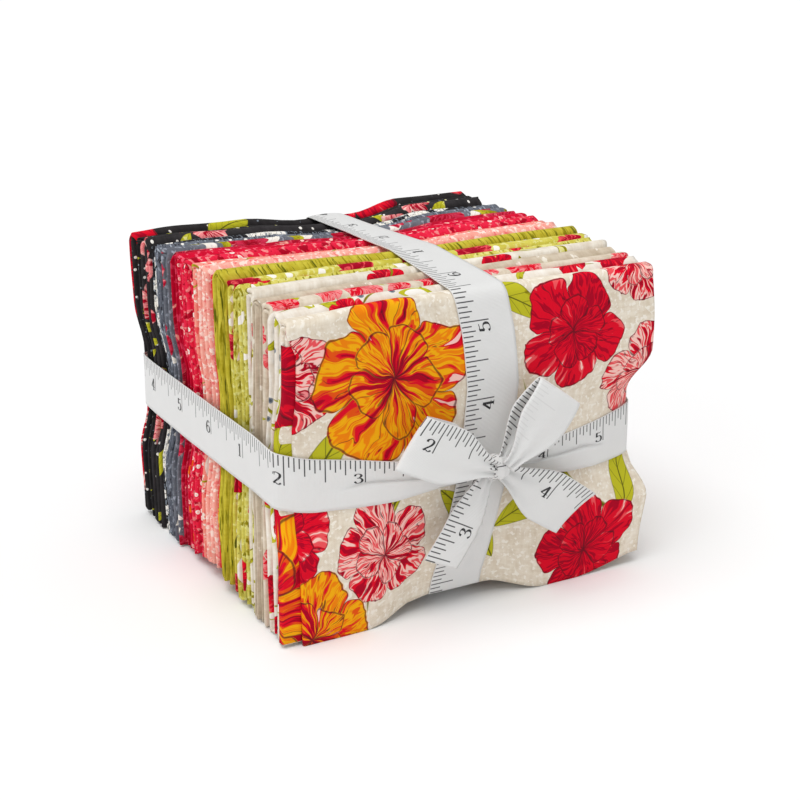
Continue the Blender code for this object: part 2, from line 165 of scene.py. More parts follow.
@dataclass(frozen=True)
class Tie:
    """The untied stack's box and how the taut ribbon squeezes it, with the solids' own numbers."""

    width: float = 5.5 * INCH
    height: float = 4.35 * INCH
    depth: float = 127.1 * MM
    middle_y: float = 5.61 * MM
    waist: float = 52.5 * MM
    waist_tilt: float = 2.5 * MM
    waist_fade: float = 18.0 * MM
    upright_heights: tuple[float, ...] = (0.0, 0.010, 0.050, 0.075, 0.092, 0.106)
    upright_front: tuple[float, ...] = (-0.0070, -0.0065, 0.0020, 0.0048, 0.0036, 0.0014)
    upright_back: float = 6.0 * MM
    upright_fade: float = 24.0 * MM
    grip_half: float = 10.5 * MM
    end_pull: float = 2.0 * MM
    front_right_pull: float = 2.4 * MM
    corner_front: float = 9.0 * MM
    corner_back: float = 4.0 * MM
    edge_pull: float = 4.5 * MM
    dip_front: float = 1.2 * MM
    dip_back: float = 3.6 * MM
    dip_less: float = 1.3 * MM
    rise_front: float = 5.1 * MM
    rise_back: float = 3.6 * MM
    curl: float = 4.4 * MM
    curl_start: float = 0.55
    droop: float = 2.2 * MM
    droop_start: float = 0.45
    slack: float = 2.1 * MM
    slack_side: float = -0.47
    slack_half: float = 0.38
    left_tuck: float = 4.0 * MM
    left_tuck_share: float = 0.6
    right_tuck: float = 2.6 * MM
    right_tuck_start: float = 0.5
    # The stack's own unevenness
    end_start: float = 0.72
    bunch: float = 0.5 * MM
    stagger: float = 0.75 * MM
    crest: float = 0.55 * MM
    sole: float = 0.45 * MM
    front_depth: float = 14.0 * MM
    spoke: float = 0.22 * MM
    billow: float = 0.35 * MM
    knot: tuple[float, float] = (2.0 * MM, 50.0 * MM)

    def grip(self, distance: Array, fade: float) -> Array:
        """1 under the ribbon, easing to 0 over the fade beside it as half a cosine wave."""
        beside = np.clip((np.abs(distance) - self.grip_half) / fade, 0.0, 1.0)
        return 0.5 * (1.0 + np.cos(math.pi * beside))

    def upright_x(self, back: Array, z: Array) -> Array:
        """Where the upright ribbon's middle runs: back is -1 at the front face and 1 at the back one."""
        rear = (back + 1.0) / 2
        return np.interp(z, self.upright_heights, self.upright_front) * (1.0 - rear) + self.upright_back * rear

    def waist_z(self, x: Array) -> Array:
        """The height that the waist ribbon grips the stack at: it runs lower at the right end."""
        return self.waist - self.waist_tilt * x / (self.width / 2)

    def squeeze(self, points: Array) -> Array:
        """Move points of the untied stack to where the ribbon pulls them.

        The ends are drawn in and the outer cloths' ends bent towards the middle at the waist. The
        top is pressed down and the bottom lifted across the middle, and the outer edges bent in. The
        front cloths' right ends curl up, the top left corners droop, the top is slack between the
        last cloths' left corners and the ribbon, and the front ends are drawn in.

        Args:
            points: Points of the settled stack.

        Returns:
            The points, moved.
        """
        x, y, z = points[..., 0], points[..., 1], points[..., 2]
        side, back, level = x / (self.width / 2), y / (self.depth / 2), z / (self.height / 2) - 1.0
        left, right = np.clip(-side, 0.0, None), np.clip(side, 0.0, None)
        high, low = np.clip(level, 0.0, None), np.clip(-level, 0.0, None)
        rear = (back + 1.0) / 2
        fore = 1.0 - rear
        waist = self.grip(z - self.waist_z(x), self.waist_fade)
        upright = self.grip(x - self.upright_x(back, z), self.upright_fade)

        corner = (self.corner_front + (self.corner_back - self.corner_front) * rear) * waist * np.abs(side) ** 3
        edge = self.edge_pull * upright * np.abs(level) ** 3
        dip = self.dip_front + (self.dip_back - self.dip_front) * rear - self.dip_less * 4 * rear * fore
        rise = self.rise_front + (self.rise_back - self.rise_front) * rear
        slack = 0.5 + 0.5 * np.cos(math.pi * np.clip((side - self.slack_side) / self.slack_half, -1.0, 1.0))
        lift = upright * (rise * low - dip * high)
        lift = lift + self.curl * smooth(self.curl_start, 1.0, side) * fore * low
        lift = lift - self.droop * smooth(self.droop_start, 1.0, -side) * high * back**2
        lift = lift - self.slack * slack * high * rear**2
        end = self.end_pull + self.front_right_pull * right * fore**3
        left_tuck = self.left_tuck * left**2 * np.clip(1.0 - rear / self.left_tuck_share, 0.0, 1.0)
        right_tuck = self.right_tuck * right**3 * fore**3 * smooth(self.right_tuck_start, 1.0, np.abs(level))
        across = left_tuck * z / self.height - right_tuck - side * waist * end
        return np.stack([x + across, y - back * (corner + edge), z + lift], axis=-1)

    def settle(self, points: Array) -> Array:
        """The stack's small unevenness, as smooth shears that can't push one layer through another.

        Ends: layers fan out and bunch up in depth, and stand in and out. Top and bottom: the rolls
        stand higher and lower. Front: shallow folds spread from the knot, as sines round it that die
        out with the distance, over a slow billow.

        Args:
            points: Points of the untied stack.

        Returns:
            The points, moved.
        """
        x, y, z = (points[..., i].copy() for i in range(3))
        side = x / (self.width / 2)
        end = smooth(self.end_start, 1.0, np.abs(side))
        other_end = np.where(side < 0, 0.0, 50.0 * MM)
        inside = smooth(0.0, 4.0 * MM, self.depth / 2 - np.abs(y))
        bunch = ripples(y + other_end, z / 7, 11, 9.0 * MM, 3.6 * MM, 4)
        stagger = ripples(y + other_end, z / 9, 12, 12.0 * MM, 1.7 * MM, 6)
        crest = ripples(x / 9, y, 13, 13.0 * MM, 4.0 * MM, 5)
        sole = ripples(x / 9, y, 14, 13.0 * MM, 4.0 * MM, 4)
        billow = ripples(x, z, 15, 60.0 * MM, 17.0 * MM, 5)
        top, bottom = smooth(0.55, 0.98, z / self.height), smooth(0.35, 0.0, z / self.height)
        front = smooth(self.front_depth, 0.0, y + self.depth / 2)
        reach, turn = np.hypot(x - self.knot[0], z - self.knot[1]), np.arctan2(z - self.knot[1], x - self.knot[0])
        spokes = np.sin(7 * turn + 1.5 * np.sin(2 * turn)) * np.exp(-(((reach - 24 * MM) / (17 * MM)) ** 2))
        y += inside * end * self.bunch * bunch + front * (self.spoke * spokes + self.billow * billow)
        x += side**3 * self.stagger * stagger
        z += top * self.crest * crest + bottom * self.sole * sole * smooth(0.0, 3 * MM, z)
        return np.stack([x, y, z], axis=-1)

    def place(self, points: Array) -> Array:
        """Points of the untied stack, settled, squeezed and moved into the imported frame."""
        return self.squeeze(self.settle(points)) + np.array([0.0, self.middle_y, 0.0])


# Meshes


def grid_mesh(name: str, points: Array, uv: Array, wrap: bool = False) -> bpy.types.Mesh:
    """A mesh of squares over a grid of points.

    Args:
        name: The mesh's name.
        points: rows x columns x 3.
        uv: The same grid's UV, with one row more where the rows wrap round.
        wrap: Whether the last row joins the first.

    Returns:
        The mesh, smooth shaded, with its UV map.
    """
    rows, columns = points.shape[:2]
    index = np.arange(rows * columns).reshape(rows, columns)
    if wrap:
        index = np.concatenate([index, index[:1]])
    faces = np.stack(quads(index), axis=-1).reshape(-1, 4)
    mesh = bpy.data.meshes.new(name)
    mesh.vertices.add(rows * columns)
    mesh.vertices.foreach_set("co", points.reshape(-1).astype(np.float32))
    mesh.loops.add(faces.size)
    mesh.loops.foreach_set("vertex_index", faces.reshape(-1).astype(np.int32))
    mesh.polygons.add(len(faces))
    mesh.polygons.foreach_set("loop_start", np.arange(0, faces.size, 4, dtype=np.int32))
    mesh.polygons.foreach_set("use_smooth", np.ones(len(faces), dtype=bool))
    layer = mesh.uv_layers.new(name=UV_NAME)
    layer.data.foreach_set("uv", np.stack(quads(uv), axis=-2).reshape(-1).astype(np.float32))
    mesh.update(calc_edges=True)
    mesh.validate()
    return mesh


def add_object(name: str, data: bpy.types.ID) -> Piece:
    """Put a mesh, a lamp or a camera in the scene.

    Args:
        name: The object's name.
        data: What it shows.

    Returns:
        The object.
    """
    made = bpy.data.objects.new(name, data)
    bpy.context.scene.collection.objects.link(made)
    return made


def add_piece(
    mesh: bpy.types.Mesh, materials: Sequence[Material], nodes: Sequence[str] = (), thickness: float = 0.0
) -> Piece:
    """Put a mesh in the scene as a piece that rides on the part and stands for its nodes.

    Args:
        mesh: The finished mesh.
        materials: Its printed side's material, then its wrong side's if that differs.
        nodes: The CAD nodes that it replaces.
        thickness: The sheet's thickness, 0 for a closed shape.

    Returns:
        The piece.
    """
    piece = add_object(mesh.name, mesh)
    for material in materials:
        mesh.materials.append(material)
    if thickness:
        shell = piece.modifiers.new("Thickness", "SOLIDIFY")
        shell.thickness = thickness
        shell.offset = 0.0
        shell.material_offset = len(materials) - 1
    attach(piece, "root")
    if nodes:
        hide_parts(*nodes)
    return piece


# Shader graphs


@dataclass(frozen=True)
class Wire:
    """A value in a node tree. Arithmetic on it adds Math nodes to the tree."""

    graph: "Graph"
    socket: bpy.types.NodeSocket

    def __add__(self, other: "Value") -> "Wire":
        """This plus the other."""
        return self.graph.math("ADD", self, other)

    def __sub__(self, other: "Value") -> "Wire":
        """This less the other."""
        return self.graph.math("SUBTRACT", self, other)

    def __rsub__(self, other: float) -> "Wire":
        """The other less this."""
        return self.graph.math("SUBTRACT", other, self)

    def __mul__(self, other: "Value") -> "Wire":
        """This times the other."""
        return self.graph.math("MULTIPLY", self, other)

    def __truediv__(self, other: "Value") -> "Wire":
        """This over the other."""
        return self.graph.math("DIVIDE", self, other)

    def __rtruediv__(self, other: float) -> "Wire":
        """The other over this."""
        return self.graph.math("DIVIDE", other, self)

    def __pow__(self, power: float) -> "Wire":
        """This to a power."""
        return self.graph.math("POWER", self, power)

    def __abs__(self) -> "Wire":
        """This without its sign."""
        return self.graph.math("ABSOLUTE", self)


Value = Wire | float | Colour


class Graph:
    """Adds nodes to one node tree and links them.

    The order of the calls matters in the motifs and prints: with its nodes made in another order, or
    with more blooms, the front cloth's material has rendered black.
    """

    def __init__(self, tree: bpy.types.NodeTree) -> None:
        """Keep the tree."""
        self.tree = tree

    def fill(self, node: bpy.types.Node, feeds: Mapping[int | str, object]) -> None:
        """Link wires and sockets to a node's inputs, or set the inputs' own values.

        Args:
            node: The node.
            feeds: What goes in, by the input's name or number. Colours go in without their alpha.
        """
        for key, value in feeds.items():
            source, target = getattr(value, "socket", value), node.inputs[key]
            if isinstance(source, bpy.types.NodeSocket):
                self.tree.links.new(source, target)
            else:
                target.default_value = (*source, 1.0) if target.type == "RGBA" else source

    def node(self, kind: str, feeds: Mapping[int | str, object], **settings: object) -> bpy.types.Node:
        """Add a node.

        Args:
            kind: Its Blender type.
            feeds: What goes into its inputs.
            settings: Its own settings.

        Returns:
            The node.
        """
        made = self.tree.nodes.new(kind)
        for name, value in settings.items():
            setattr(made, name, value)
        self.fill(made, feeds)
        return made

    def math(self, operation: str, *terms: Value) -> Wire:
        """The result of a Math node."""
        return Wire(self, self.node("ShaderNodeMath", dict(enumerate(terms)), operation=operation).outputs[0])

    def vector(self, operation: str, *terms: Value) -> Wire:
        """The result of a Vector Math node, which is a number for a length and a vector otherwise."""
        made = self.node("ShaderNodeVectorMath", dict(enumerate(terms)), operation=operation)
        return Wire(self, made.outputs["Value" if operation == "LENGTH" else "Vector"])

    def scaled(self, vector: Value, scale: Value) -> Wire:
        """A vector times a number."""
        made = self.node("ShaderNodeVectorMath", {0: vector, "Scale": scale}, operation="SCALE")
        return Wire(self, made.outputs[0])

    def split(self, vector: object) -> list[Wire]:
        """A vector's X, Y and Z."""
        return [Wire(self, part) for part in self.node("ShaderNodeSeparateXYZ", {0: vector}).outputs]

    def join(self, x: Value, y: Value, z: Value = 0.0) -> Wire:
        """A vector from X, Y and Z."""
        return Wire(self, self.node("ShaderNodeCombineXYZ", {0: x, 1: y, 2: z}).outputs[0])

    def mix(self, factor: Value, first: Value, second: Value) -> Wire:
        """Two colours mixed."""
        made = self.node("ShaderNodeMix", {0: factor, 6: first, 7: second}, data_type="RGBA")
        return Wire(self, made.outputs[2])

    def blend(self, factor: Value, first: Value, second: Value) -> Wire:
        """Two numbers mixed."""
        made = self.node("ShaderNodeMix", {0: factor, 2: first, 3: second}, data_type="FLOAT")
        return Wire(self, made.outputs[0])

    def noise(self, vector: Value, scale: float, detail: float, output: str = "Fac", **more: float) -> Wire:
        """Perlin noise of a vector: its number, or its Color."""
        feeds = {"Vector": vector, "Scale": scale, "Detail": detail, **more}
        return Wire(self, self.node("ShaderNodeTexNoise", feeds).outputs[output])

    def step(self, value: Value, low: Value, high: Value) -> Wire:
        """0 where the value is under low, 1 over high, smooth between."""
        made = self.node("ShaderNodeMapRange", {0: value, 1: low, 2: high}, interpolation_type="SMOOTHSTEP")
        return Wire(self, made.outputs[0])

    def line(self, distance: Wire, half: float, soft: float = 0.6) -> Wire:
        """1 within half of zero distance, easing to 0 just outside."""
        return 1.0 - self.step(abs(distance) / half, 1.0 - soft, 1.0 + soft)

    def top(self, first: Wire, second: Wire) -> Wire:
        """The larger of two values."""
        return self.math("MAXIMUM", first, second)

    def ramp(self, factor: Wire, stops: Sequence[Colour], blur: float = 0.25) -> Wire:
        """A colour from even washes of the stops, which run into each other.

        Args:
            factor: Where on the ramp, from 0 to 1.
            stops: The washes' colours.
            blur: The share of each wash that runs into its neighbours.

        Returns:
            The colour.
        """
        made = self.node("ShaderNodeValToRGB", {0: factor})
        band = made.color_ramp
        while len(band.elements) < 2 * len(stops):
            band.elements.new(0.5)
        for i, colour in enumerate(stops):
            for k, side in enumerate((blur / 2, 1.0 - blur / 2)):
                band.elements[2 * i + k].position = (i + side) / len(stops)
                band.elements[2 * i + k].color = (*colour, 1.0)
        return Wire(self, made.outputs[0])

    def group(self, tree: bpy.types.NodeTree, **values: object) -> dict[str, Wire]:
        """Place a node group.

        Args:
            tree: The group.
            values: What goes into its inputs.

        Returns:
            Its outputs by name.
        """
        made = self.node("ShaderNodeGroup", {}, node_tree=tree)
        self.fill(made, values)
        return {part.name: Wire(self, part) for part in made.outputs}

    def place(self) -> Wire:
        """The place on the piece's own UV map."""
        return Wire(self, self.node("ShaderNodeUVMap", {}, uv_map=UV_NAME).outputs[0])

    def bump(self, surface: bpy.types.Node, strength: float, depth: float) -> bpy.types.Node:
        """Give a shader a bump, whose Height is still to be fed.

        Args:
            surface: The shader.
            strength: How strong the bump is.
            depth: How deep it is, in metres.

        Returns:
            The bump node.
        """
        bump = self.node("ShaderNodeBump", {"Strength": strength, "Distance": depth})
        self.fill(surface, {"Normal": bump.outputs[0]})
        return bump

    def close(self, *values: Wire) -> bpy.types.NodeTree:
        """Feed the group's outputs in order, and return the group."""
        self.fill(self.tree.nodes["Group Output"], dict(enumerate(values)))
        return self.tree


class Motif(Enum):
    """What one layer of a print draws in each cell of its lattice."""

    BLOSSOM = "blossom"
    LEAF = "leaf"
    STEM = "stem"
    DOT = "dot"
    FLECK = "fleck"


class Motifs:
    """The node groups that the prints share, each built once.

    A motif is drawn in its own unit disc: Local is the place in it. Outputs are masks from 0 to 1.
    """

    DRAWN = ("Mask", "Shade", "Ink")
    ORIGIN = (0.0, 0.0, 0.0)
    PETAL_ROWS = ((0.0, 0.94), (0.5, 0.56))
    RULER_MARKS = ((1, 0.54), (2, 0.44), (4, 0.33), (8, 0.26), (16, 0.20))

    def __init__(self) -> None:
        """Build every group."""
        self.petals = self._petals()
        self.blade = self._blade()
        self.scatter = self._scatter()
        self.linen = self._linen()
        self.weave = self._weave()
        self.ruler = self._ruler()

    @staticmethod
    def _new(name: str, outputs: Sequence[str], **inputs: float | Colour) -> tuple[Graph, list[Wire]]:
        """An empty group.

        Args:
            name: The group's name.
            outputs: The names of the outputs, where a name that ends in Place is a vector.
            inputs: Each input's name and default, a number or three.

        Returns:
            Its graph, and its inputs in order.
        """
        tree = bpy.data.node_groups.new(name, "ShaderNodeTree")
        sockets = [(label, "INPUT", isinstance(default, tuple)) for label, default in inputs.items()]
        sockets += [(label, "OUTPUT", label.endswith("Place")) for label in outputs]
        for label, side, is_vector in sockets:
            kind = "NodeSocketVector" if is_vector else "NodeSocketFloat"
            made = tree.interface.new_socket(name=label, in_out=side, socket_type=kind)
            if side == "INPUT":
                made.default_value = inputs[label]
        graph = Graph(tree)
        entry = graph.node("NodeGroupInput", {})
        graph.node("NodeGroupOutput", {})
        return graph, [Wire(graph, entry.outputs[label]) for label in inputs]

    def _petals(self) -> bpy.types.NodeTree:
        """An open blossom of two rows of petals, washed and inked.

        The inner row is turned by half a petal. With t from -1 to 1 across a petal, a row ends at its
        reach times 0.56 + 0.34 (1 - t^2)^0.5 plus a ruffle. Shade picks the wash: it grows from the
        heart to the rim, differs by petal, and is broken by noise stretched along the petal. Ink draws
        rims, gaps and a few flowing lines.

        Returns:
            The group.
        """
        g, (local, petals, turn, seed) = self._new(
            "Petals", self.DRAWN, Local=self.ORIGIN, Petals=5.0, Turn=0.0, Seed=0.0
        )
        wobble = g.noise(g.vector("ADD", local, g.join(seed, seed * 1.7, seed)), 1.6, 2.0, "Color")
        wobble = g.scaled(g.vector("SUBTRACT", wobble, (0.5, 0.5, 0.5)), 0.42)
        x, y, _ = g.split(g.vector("ADD", local, wobble))
        reach = g.vector("LENGTH", g.join(x, y))
        around = (g.math("ARCTAN2", y, x) + turn) * petals * (1.0 / TAU)
        rows = []
        for number, (turned, edge) in enumerate(self.PETAL_ROWS):
            spot = around + (turned + 40.0)
            across = (g.math("FRACT", spot) - 0.5) * 2.0
            petal = g.math("FLOOR", spot) + seed * 5.3
            dice = g.node("ShaderNodeTexWhiteNoise", {}, noise_dimensions="1D")
            g.fill(dice, {"W": g.math("FLOOR", petal * 3.0 + number)})
            pick = Wire(g, dice.outputs["Value"])
            streak = g.noise(g.join(across * 1.9, reach * 0.75, petal), 1.9, 2.0, Distortion=0.3)
            ruffle = g.noise(g.join(across, petal, seed), 1.7, 2.0)
            rim = (g.math("SQRT", 1.0 - across * across) * 0.34 + ruffle * 0.22 + 0.56) * edge
            inside = 1.0 - g.step(reach, rim - 0.012, rim)
            shade = reach / rim * 0.42 + 0.10 + (streak - 0.5) * 1.9 + (pick - 0.5) * 0.30
            gap = g.line((1.0 - abs(across)) * reach, 0.016)
            vein = g.line((g.math("FRACT", across * 2.1 + streak * 2.2) - 0.5) * reach, 0.016)
            vein = vein * g.step(ruffle, 0.40, 0.52)
            rim_line = g.line(reach - (rim - 0.018), 0.010)
            rows.append((inside, shade, g.top(g.top(gap, rim_line), vein)))
        (outer, shade, ink), (inner, inner_shade, inner_ink) = rows
        mask = g.top(outer, inner)
        return g.close(mask, g.blend(inner, shade, inner_shade), g.blend(inner, ink, inner_ink) * (mask * 0.9))

    def _blade(self) -> bpy.types.NodeTree:
        """A leaf or a stem along a parabola, where x runs from -1 to 1 along it.

        It is Bend (1 - x^2) high in its middle and Width (1 - x^2)^0.8 wide each way. Ink draws its rib,
        its edge and, where it is wide, slanting veins.

        Returns:
            The group.
        """
        g, (local, turn, width, bend, seed) = self._new(
            "Blade", self.DRAWN, Local=self.ORIGIN, Turn=0.0, Width=0.3, Bend=0.15, Seed=0.0
        )
        x, y, _ = g.split(local)
        cosine, sine = g.math("COSINE", turn), g.math("SINE", turn)
        along = x * cosine + y * sine
        across = y * cosine - x * sine
        taper = 1.0 - along * along
        across = across - bend * taper
        wide = width * g.math("MAXIMUM", taper, 0.0) ** 0.8
        beside = abs(across)
        room = wide - beside
        mask = g.step(room, 0.0, 0.018)
        shade = g.noise(g.join(along, across, seed), 3.0, 3.0) + across * 0.5
        rib, edge = g.line(across, 0.014), g.line(room, 0.020)
        veins = g.line((g.math("FRACT", along * 3.0 + beside * -4.5) - 0.5) * 0.33, 0.012)
        veins = veins * g.step(width, 0.12, 0.2)
        ink = g.top(g.top(rib, edge), veins * 0.7)
        return g.close(mask, shade, ink * mask)

    def _scatter(self) -> bpy.types.NodeTree:
        """A jittered lattice: the place from the nearest cell's middle, in cells, and three random numbers.

        Returns:
            The group.
        """
        g, (place, cell, jitter, seed) = self._new(
            "Scatter", ("Local Place", "Pick", "Turn", "Size"), Place=self.ORIGIN, Cell=0.02, Jitter=0.6, Seed=0.0
        )
        moved = g.vector("ADD", g.scaled(place, 1.0 / cell), g.join(seed * 7.13, seed * 3.71))
        feeds = {"Vector": moved, "Scale": 1.0, "Randomness": jitter}
        cells = g.node("ShaderNodeTexVoronoi", feeds, voronoi_dimensions="2D", feature="F1").outputs
        local = g.vector("SUBTRACT", moved, cells["Position"])
        pick, turn, size = g.split(cells["Color"])
        return g.close(local, pick, turn * TAU, size)

    def _linen(self) -> bpy.types.NodeTree:
        """A printed linen ground: noise drawn out along each thread direction, from 0 to 1.

        Returns:
            The group.
        """
        g, (place, thread) = self._new("Linen ground", ("Tone",), Place=self.ORIGIN, Thread=900.0)
        x, y, _ = g.split(place)
        slow = thread * 0.16
        weft = g.noise(g.join(x * slow, y * thread), 1.0, 2.0)
        warp = g.noise(g.join(x * thread, y * slow, 5.0), 1.0, 2.0)
        cloud = g.noise(place, 190.0, 4.0, Roughness=0.6)
        return g.close((weft + warp) * 0.27 + cloud * 0.55)

    def _weave(self) -> bpy.types.NodeTree:
        """Plain weave relief: the product of two sines, one along each thread, plus slow slubs.

        Returns:
            The group.
        """
        g, (place, pitch) = self._new("Weave", ("Height",), Place=self.ORIGIN, Pitch=0.0007)
        x, y, _ = g.split(place)
        turns = TAU / pitch
        threads = g.math("SINE", x * turns) * g.math("SINE", y * turns)
        slubs = g.noise(g.vector("MULTIPLY", place, (500.0, 2600.0, 1.0)), 1.0, 2.0)
        return g.close(threads * 0.5 + slubs)

    def _ruler(self) -> bpy.types.NodeTree:
        """Ruler marks: Place is (inches along, share of the width from the marked edge).

        RULER_MARKS gives each mark's parts of an inch and its length as a share of the width.

        Returns:
            The group.
        """
        g, (place,) = self._new("Ruler", ("Ink",), Place=self.ORIGIN)
        along, across, _ = g.split(place)
        ink: Wire | None = None
        for parts, length in self.RULER_MARKS:
            turned = (g.math("FRACT", along * parts + 0.5) - 0.5) / parts
            mark = g.line(turned, 0.0078, 0.35) * g.math("LESS_THAN", across, length)
            ink = g.top(ink, mark) if ink else mark
        return g.close(ink * g.math("GREATER_THAN", across, 0.012))


# Finishes

INK: Colour = (0.055, 0.008, 0.016)
LEAF_INK: Colour = (0.035, 0.035, 0.008)


@dataclass(frozen=True)
class Layer:
    """One layer of a print: a motif repeated over a jittered lattice.

    cell is the lattice's pitch in millimetres and size the motif's radius in cells. share is how many
    cells hold one. stops are the colours from the motif's heart to its rim.
    """

    motif: Motif
    cell: float
    size: float
    stops: tuple[Colour, ...]
    share: float = 1.0
    seed: float = 0.0
    ink: float = 0.8
    jitter: float = 0.6
    stretch: float = 1.0


@dataclass(frozen=True)
class Bloom:
    """One blossom, leaf or stem at a chosen place of a cloth, in millimetres of cloth and degrees."""

    motif: Motif
    x: float
    z: float
    radius: float
    stops: tuple[Colour, ...]
    turn: float
    width: float = 0.3
    bend: float = 0.15


def new_material(name: str, values: Mapping[str, object]) -> tuple[Material, Graph, bpy.types.Node]:
    """A material with a Principled shader.

    Args:
        name: The material's name.
        values: The shader's own values.

    Returns:
        The material, its graph and its shader.
    """
    material = bpy.data.materials.new(name)
    material.use_nodes = True
    g = Graph(material.node_tree)
    surface = material.node_tree.nodes["Principled BSDF"]
    g.fill(surface, values)
    return material, g, surface


def plain_material(name: str, colour: Colour, roughness: float) -> Material:
    """A plain finish, for printed ink and the floor."""
    return new_material(name, {"Base Color": colour, "Roughness": roughness})[0]


@dataclass(frozen=True)
class Painter:
    """Paints the motifs of one material over each other."""

    g: Graph
    motifs: Motifs
    place: Wire

    def layer(self, layer: Layer, below: Wire) -> Wire:
        """One layer over the colour below it.

        Flecks are the peaks of a noise. The other motifs are drawn in the cells of a lattice.

        Args:
            layer: What to paint.
            below: The colour so far.

        Returns:
            The new colour.
        """
        g = self.g
        here = self.place
        if layer.stretch != 1.0:
            here = g.vector("MULTIPLY", here, (layer.stretch, 1.0, 1.0))
        if layer.motif is Motif.FLECK:
            spot = g.vector("ADD", g.scaled(here, 1.0 / (layer.cell * MM)), (layer.seed, 0.0, layer.seed))
            edge = 1.0 - layer.size
            return g.mix(g.step(g.noise(spot, 1.0, 3.0), edge, edge + 0.06), below, layer.stops[0])
        cell = g.group(self.motifs.scatter, Place=here, Cell=layer.cell * MM, Jitter=layer.jitter, Seed=layer.seed)
        chosen = g.math("LESS_THAN", cell["Pick"], layer.share)
        local = g.scaled(cell["Local Place"], 1.0 / ((cell["Size"] * 0.5 + 0.75) * layer.size))
        if layer.motif is Motif.DOT:
            reach = g.vector("LENGTH", local)
            return g.mix(chosen * (1.0 - g.step(reach, 0.85, 1.05)), below, g.ramp(reach, layer.stops))
        drawing = {"Local": local, "Turn": cell["Turn"], "Seed": cell["Pick"]}
        if layer.motif is Motif.BLOSSOM:
            drawn = g.group(self.motifs.petals, **drawing)
        else:
            drawn = g.group(self.motifs.blade, Width=0.3 if layer.motif is Motif.LEAF else 0.06, **drawing)
        return self._over(drawn, chosen, layer.stops, layer.ink, below)

    def bloom(self, bloom: Bloom, seed: float, below: Wire) -> Wire:
        """One placed blossom, leaf or stem over the colour below it.

        Args:
            bloom: What to paint.
            seed: Makes it differ from the others.
            below: The colour so far.

        Returns:
            The new colour.
        """
        g = self.g
        local = g.vector("SUBTRACT", self.place, (bloom.x * MM, bloom.z * MM, 0.0))
        drawing = {"Local": g.scaled(local, 1.0 / (bloom.radius * MM)), "Turn": math.radians(bloom.turn)}
        if bloom.motif is Motif.BLOSSOM:
            drawn = g.group(self.motifs.petals, Seed=seed * 1.37, **drawing)
        else:
            drawn = g.group(self.motifs.blade, Seed=seed, Width=bloom.width, Bend=bloom.bend, **drawing)
        return self._over(drawn, 1.0, bloom.stops, 0.85, below)

    def _over(
        self, drawn: Mapping[str, Wire], chosen: Value, stops: Sequence[Colour], ink: float, below: Wire
    ) -> Wire:
        """A drawn motif over the colour below it.

        Args:
            drawn: The motif's mask, shade and ink.
            chosen: 1 where the motif shows.
            stops: Its colours. Green ones get the leaves' ink.
            ink: How strong its lines are.
            below: The colour so far.

        Returns:
            The new colour.
        """
        line = LEAF_INK if stops[0][1] > stops[0][0] * 0.8 else INK
        painted = self.g.mix(drawn["Ink"] * ink, self.g.ramp(drawn["Shade"], stops), line)
        return self.g.mix(drawn["Mask"] * chosen, below, painted)


@dataclass(frozen=True)
class Print:
    """A printed cotton: its ground's two tones, its layers, and how soft its linen mottling is.

    roll_at is where on the cloth it goes over the roll, where it creases.
    """

    name: str
    ground: Colour
    shade: Colour
    layers: tuple[Layer, ...] = ()
    blooms: tuple[Bloom, ...] = ()
    contrast: float = 1.0
    roll_at: float = 103.0 * MM

    def make(self, motifs: Motifs) -> Material:
        """The material: ground, then each layer painted over it, then a woven relief, creased over the roll.

        Args:
            motifs: The shared groups.

        Returns:
            The material.
        """
        material, g, surface = new_material(self.name, {"Roughness": 0.88, "Specular IOR Level": 0.12})
        place = g.place()
        painter = Painter(g, motifs, place)
        soft = 0.18 / self.contrast
        tone = g.step(g.group(motifs.linen, Place=place)["Tone"], 0.55 - soft, 0.55 + soft)
        colour = g.mix(tone, self.shade, self.ground)
        for layer in self.layers:
            colour = painter.layer(layer, colour)
        for number, bloom in enumerate(self.blooms):
            colour = painter.bloom(bloom, float(number), colour)
        g.fill(surface, {"Base Color": colour})
        bump = g.bump(surface, 0.35, 0.12 * MM)
        creases = g.noise(g.vector("MULTIPLY", place, (520.0, 60.0, 1.0)), 1.0, 3.0)
        creases = creases * (1.0 - g.step(abs(g.split(place)[1] - self.roll_at), 8.0 * MM, 20.0 * MM))
        g.fill(bump, {"Height": g.group(motifs.weave, Place=place)["Height"] + creases * 9.0})
        return material


@dataclass(frozen=True)
class Satin:
    """The ribbon's white tape, and how strongly the ruler shows on it."""

    name: str
    strength: float = 1.0
    colour: Colour = (0.81, 0.81, 0.80)
    shadow: float = 0.94
    ink: Colour = (0.035, 0.035, 0.038)
    ribs_an_inch: float = 60.0
    cords_across: float = 46.0

    def make(self, motifs: Motifs) -> Material:
        """The material: white tape, ruler marks, fine cross ribs and finer lengthwise ones.

        Args:
            motifs: The shared groups.

        Returns:
            The material.
        """
        material, g, surface = new_material(self.name, {"Roughness": 0.42, "Sheen Weight": 0.15})
        place = g.place()
        marks = g.group(motifs.ruler, Place=place)["Ink"]
        cloud = g.noise(g.vector("MULTIPLY", place, (1.0, 0.7, 1.0)), 3.0, 2.0)
        tape = g.mix(cloud, tuple(self.shadow * part for part in self.colour), self.colour)
        g.fill(surface, {"Base Color": g.mix(marks * self.strength, tape, self.ink)})
        along, across, _ = g.split(place)
        ribs = g.math("SINE", along * (TAU * self.ribs_an_inch))
        cords = g.math("SINE", across * (TAU * self.cords_across))
        g.fill(g.bump(surface, 0.4, 0.08 * MM), {"Height": ribs + cords * 0.35})
        return material


# Cloths


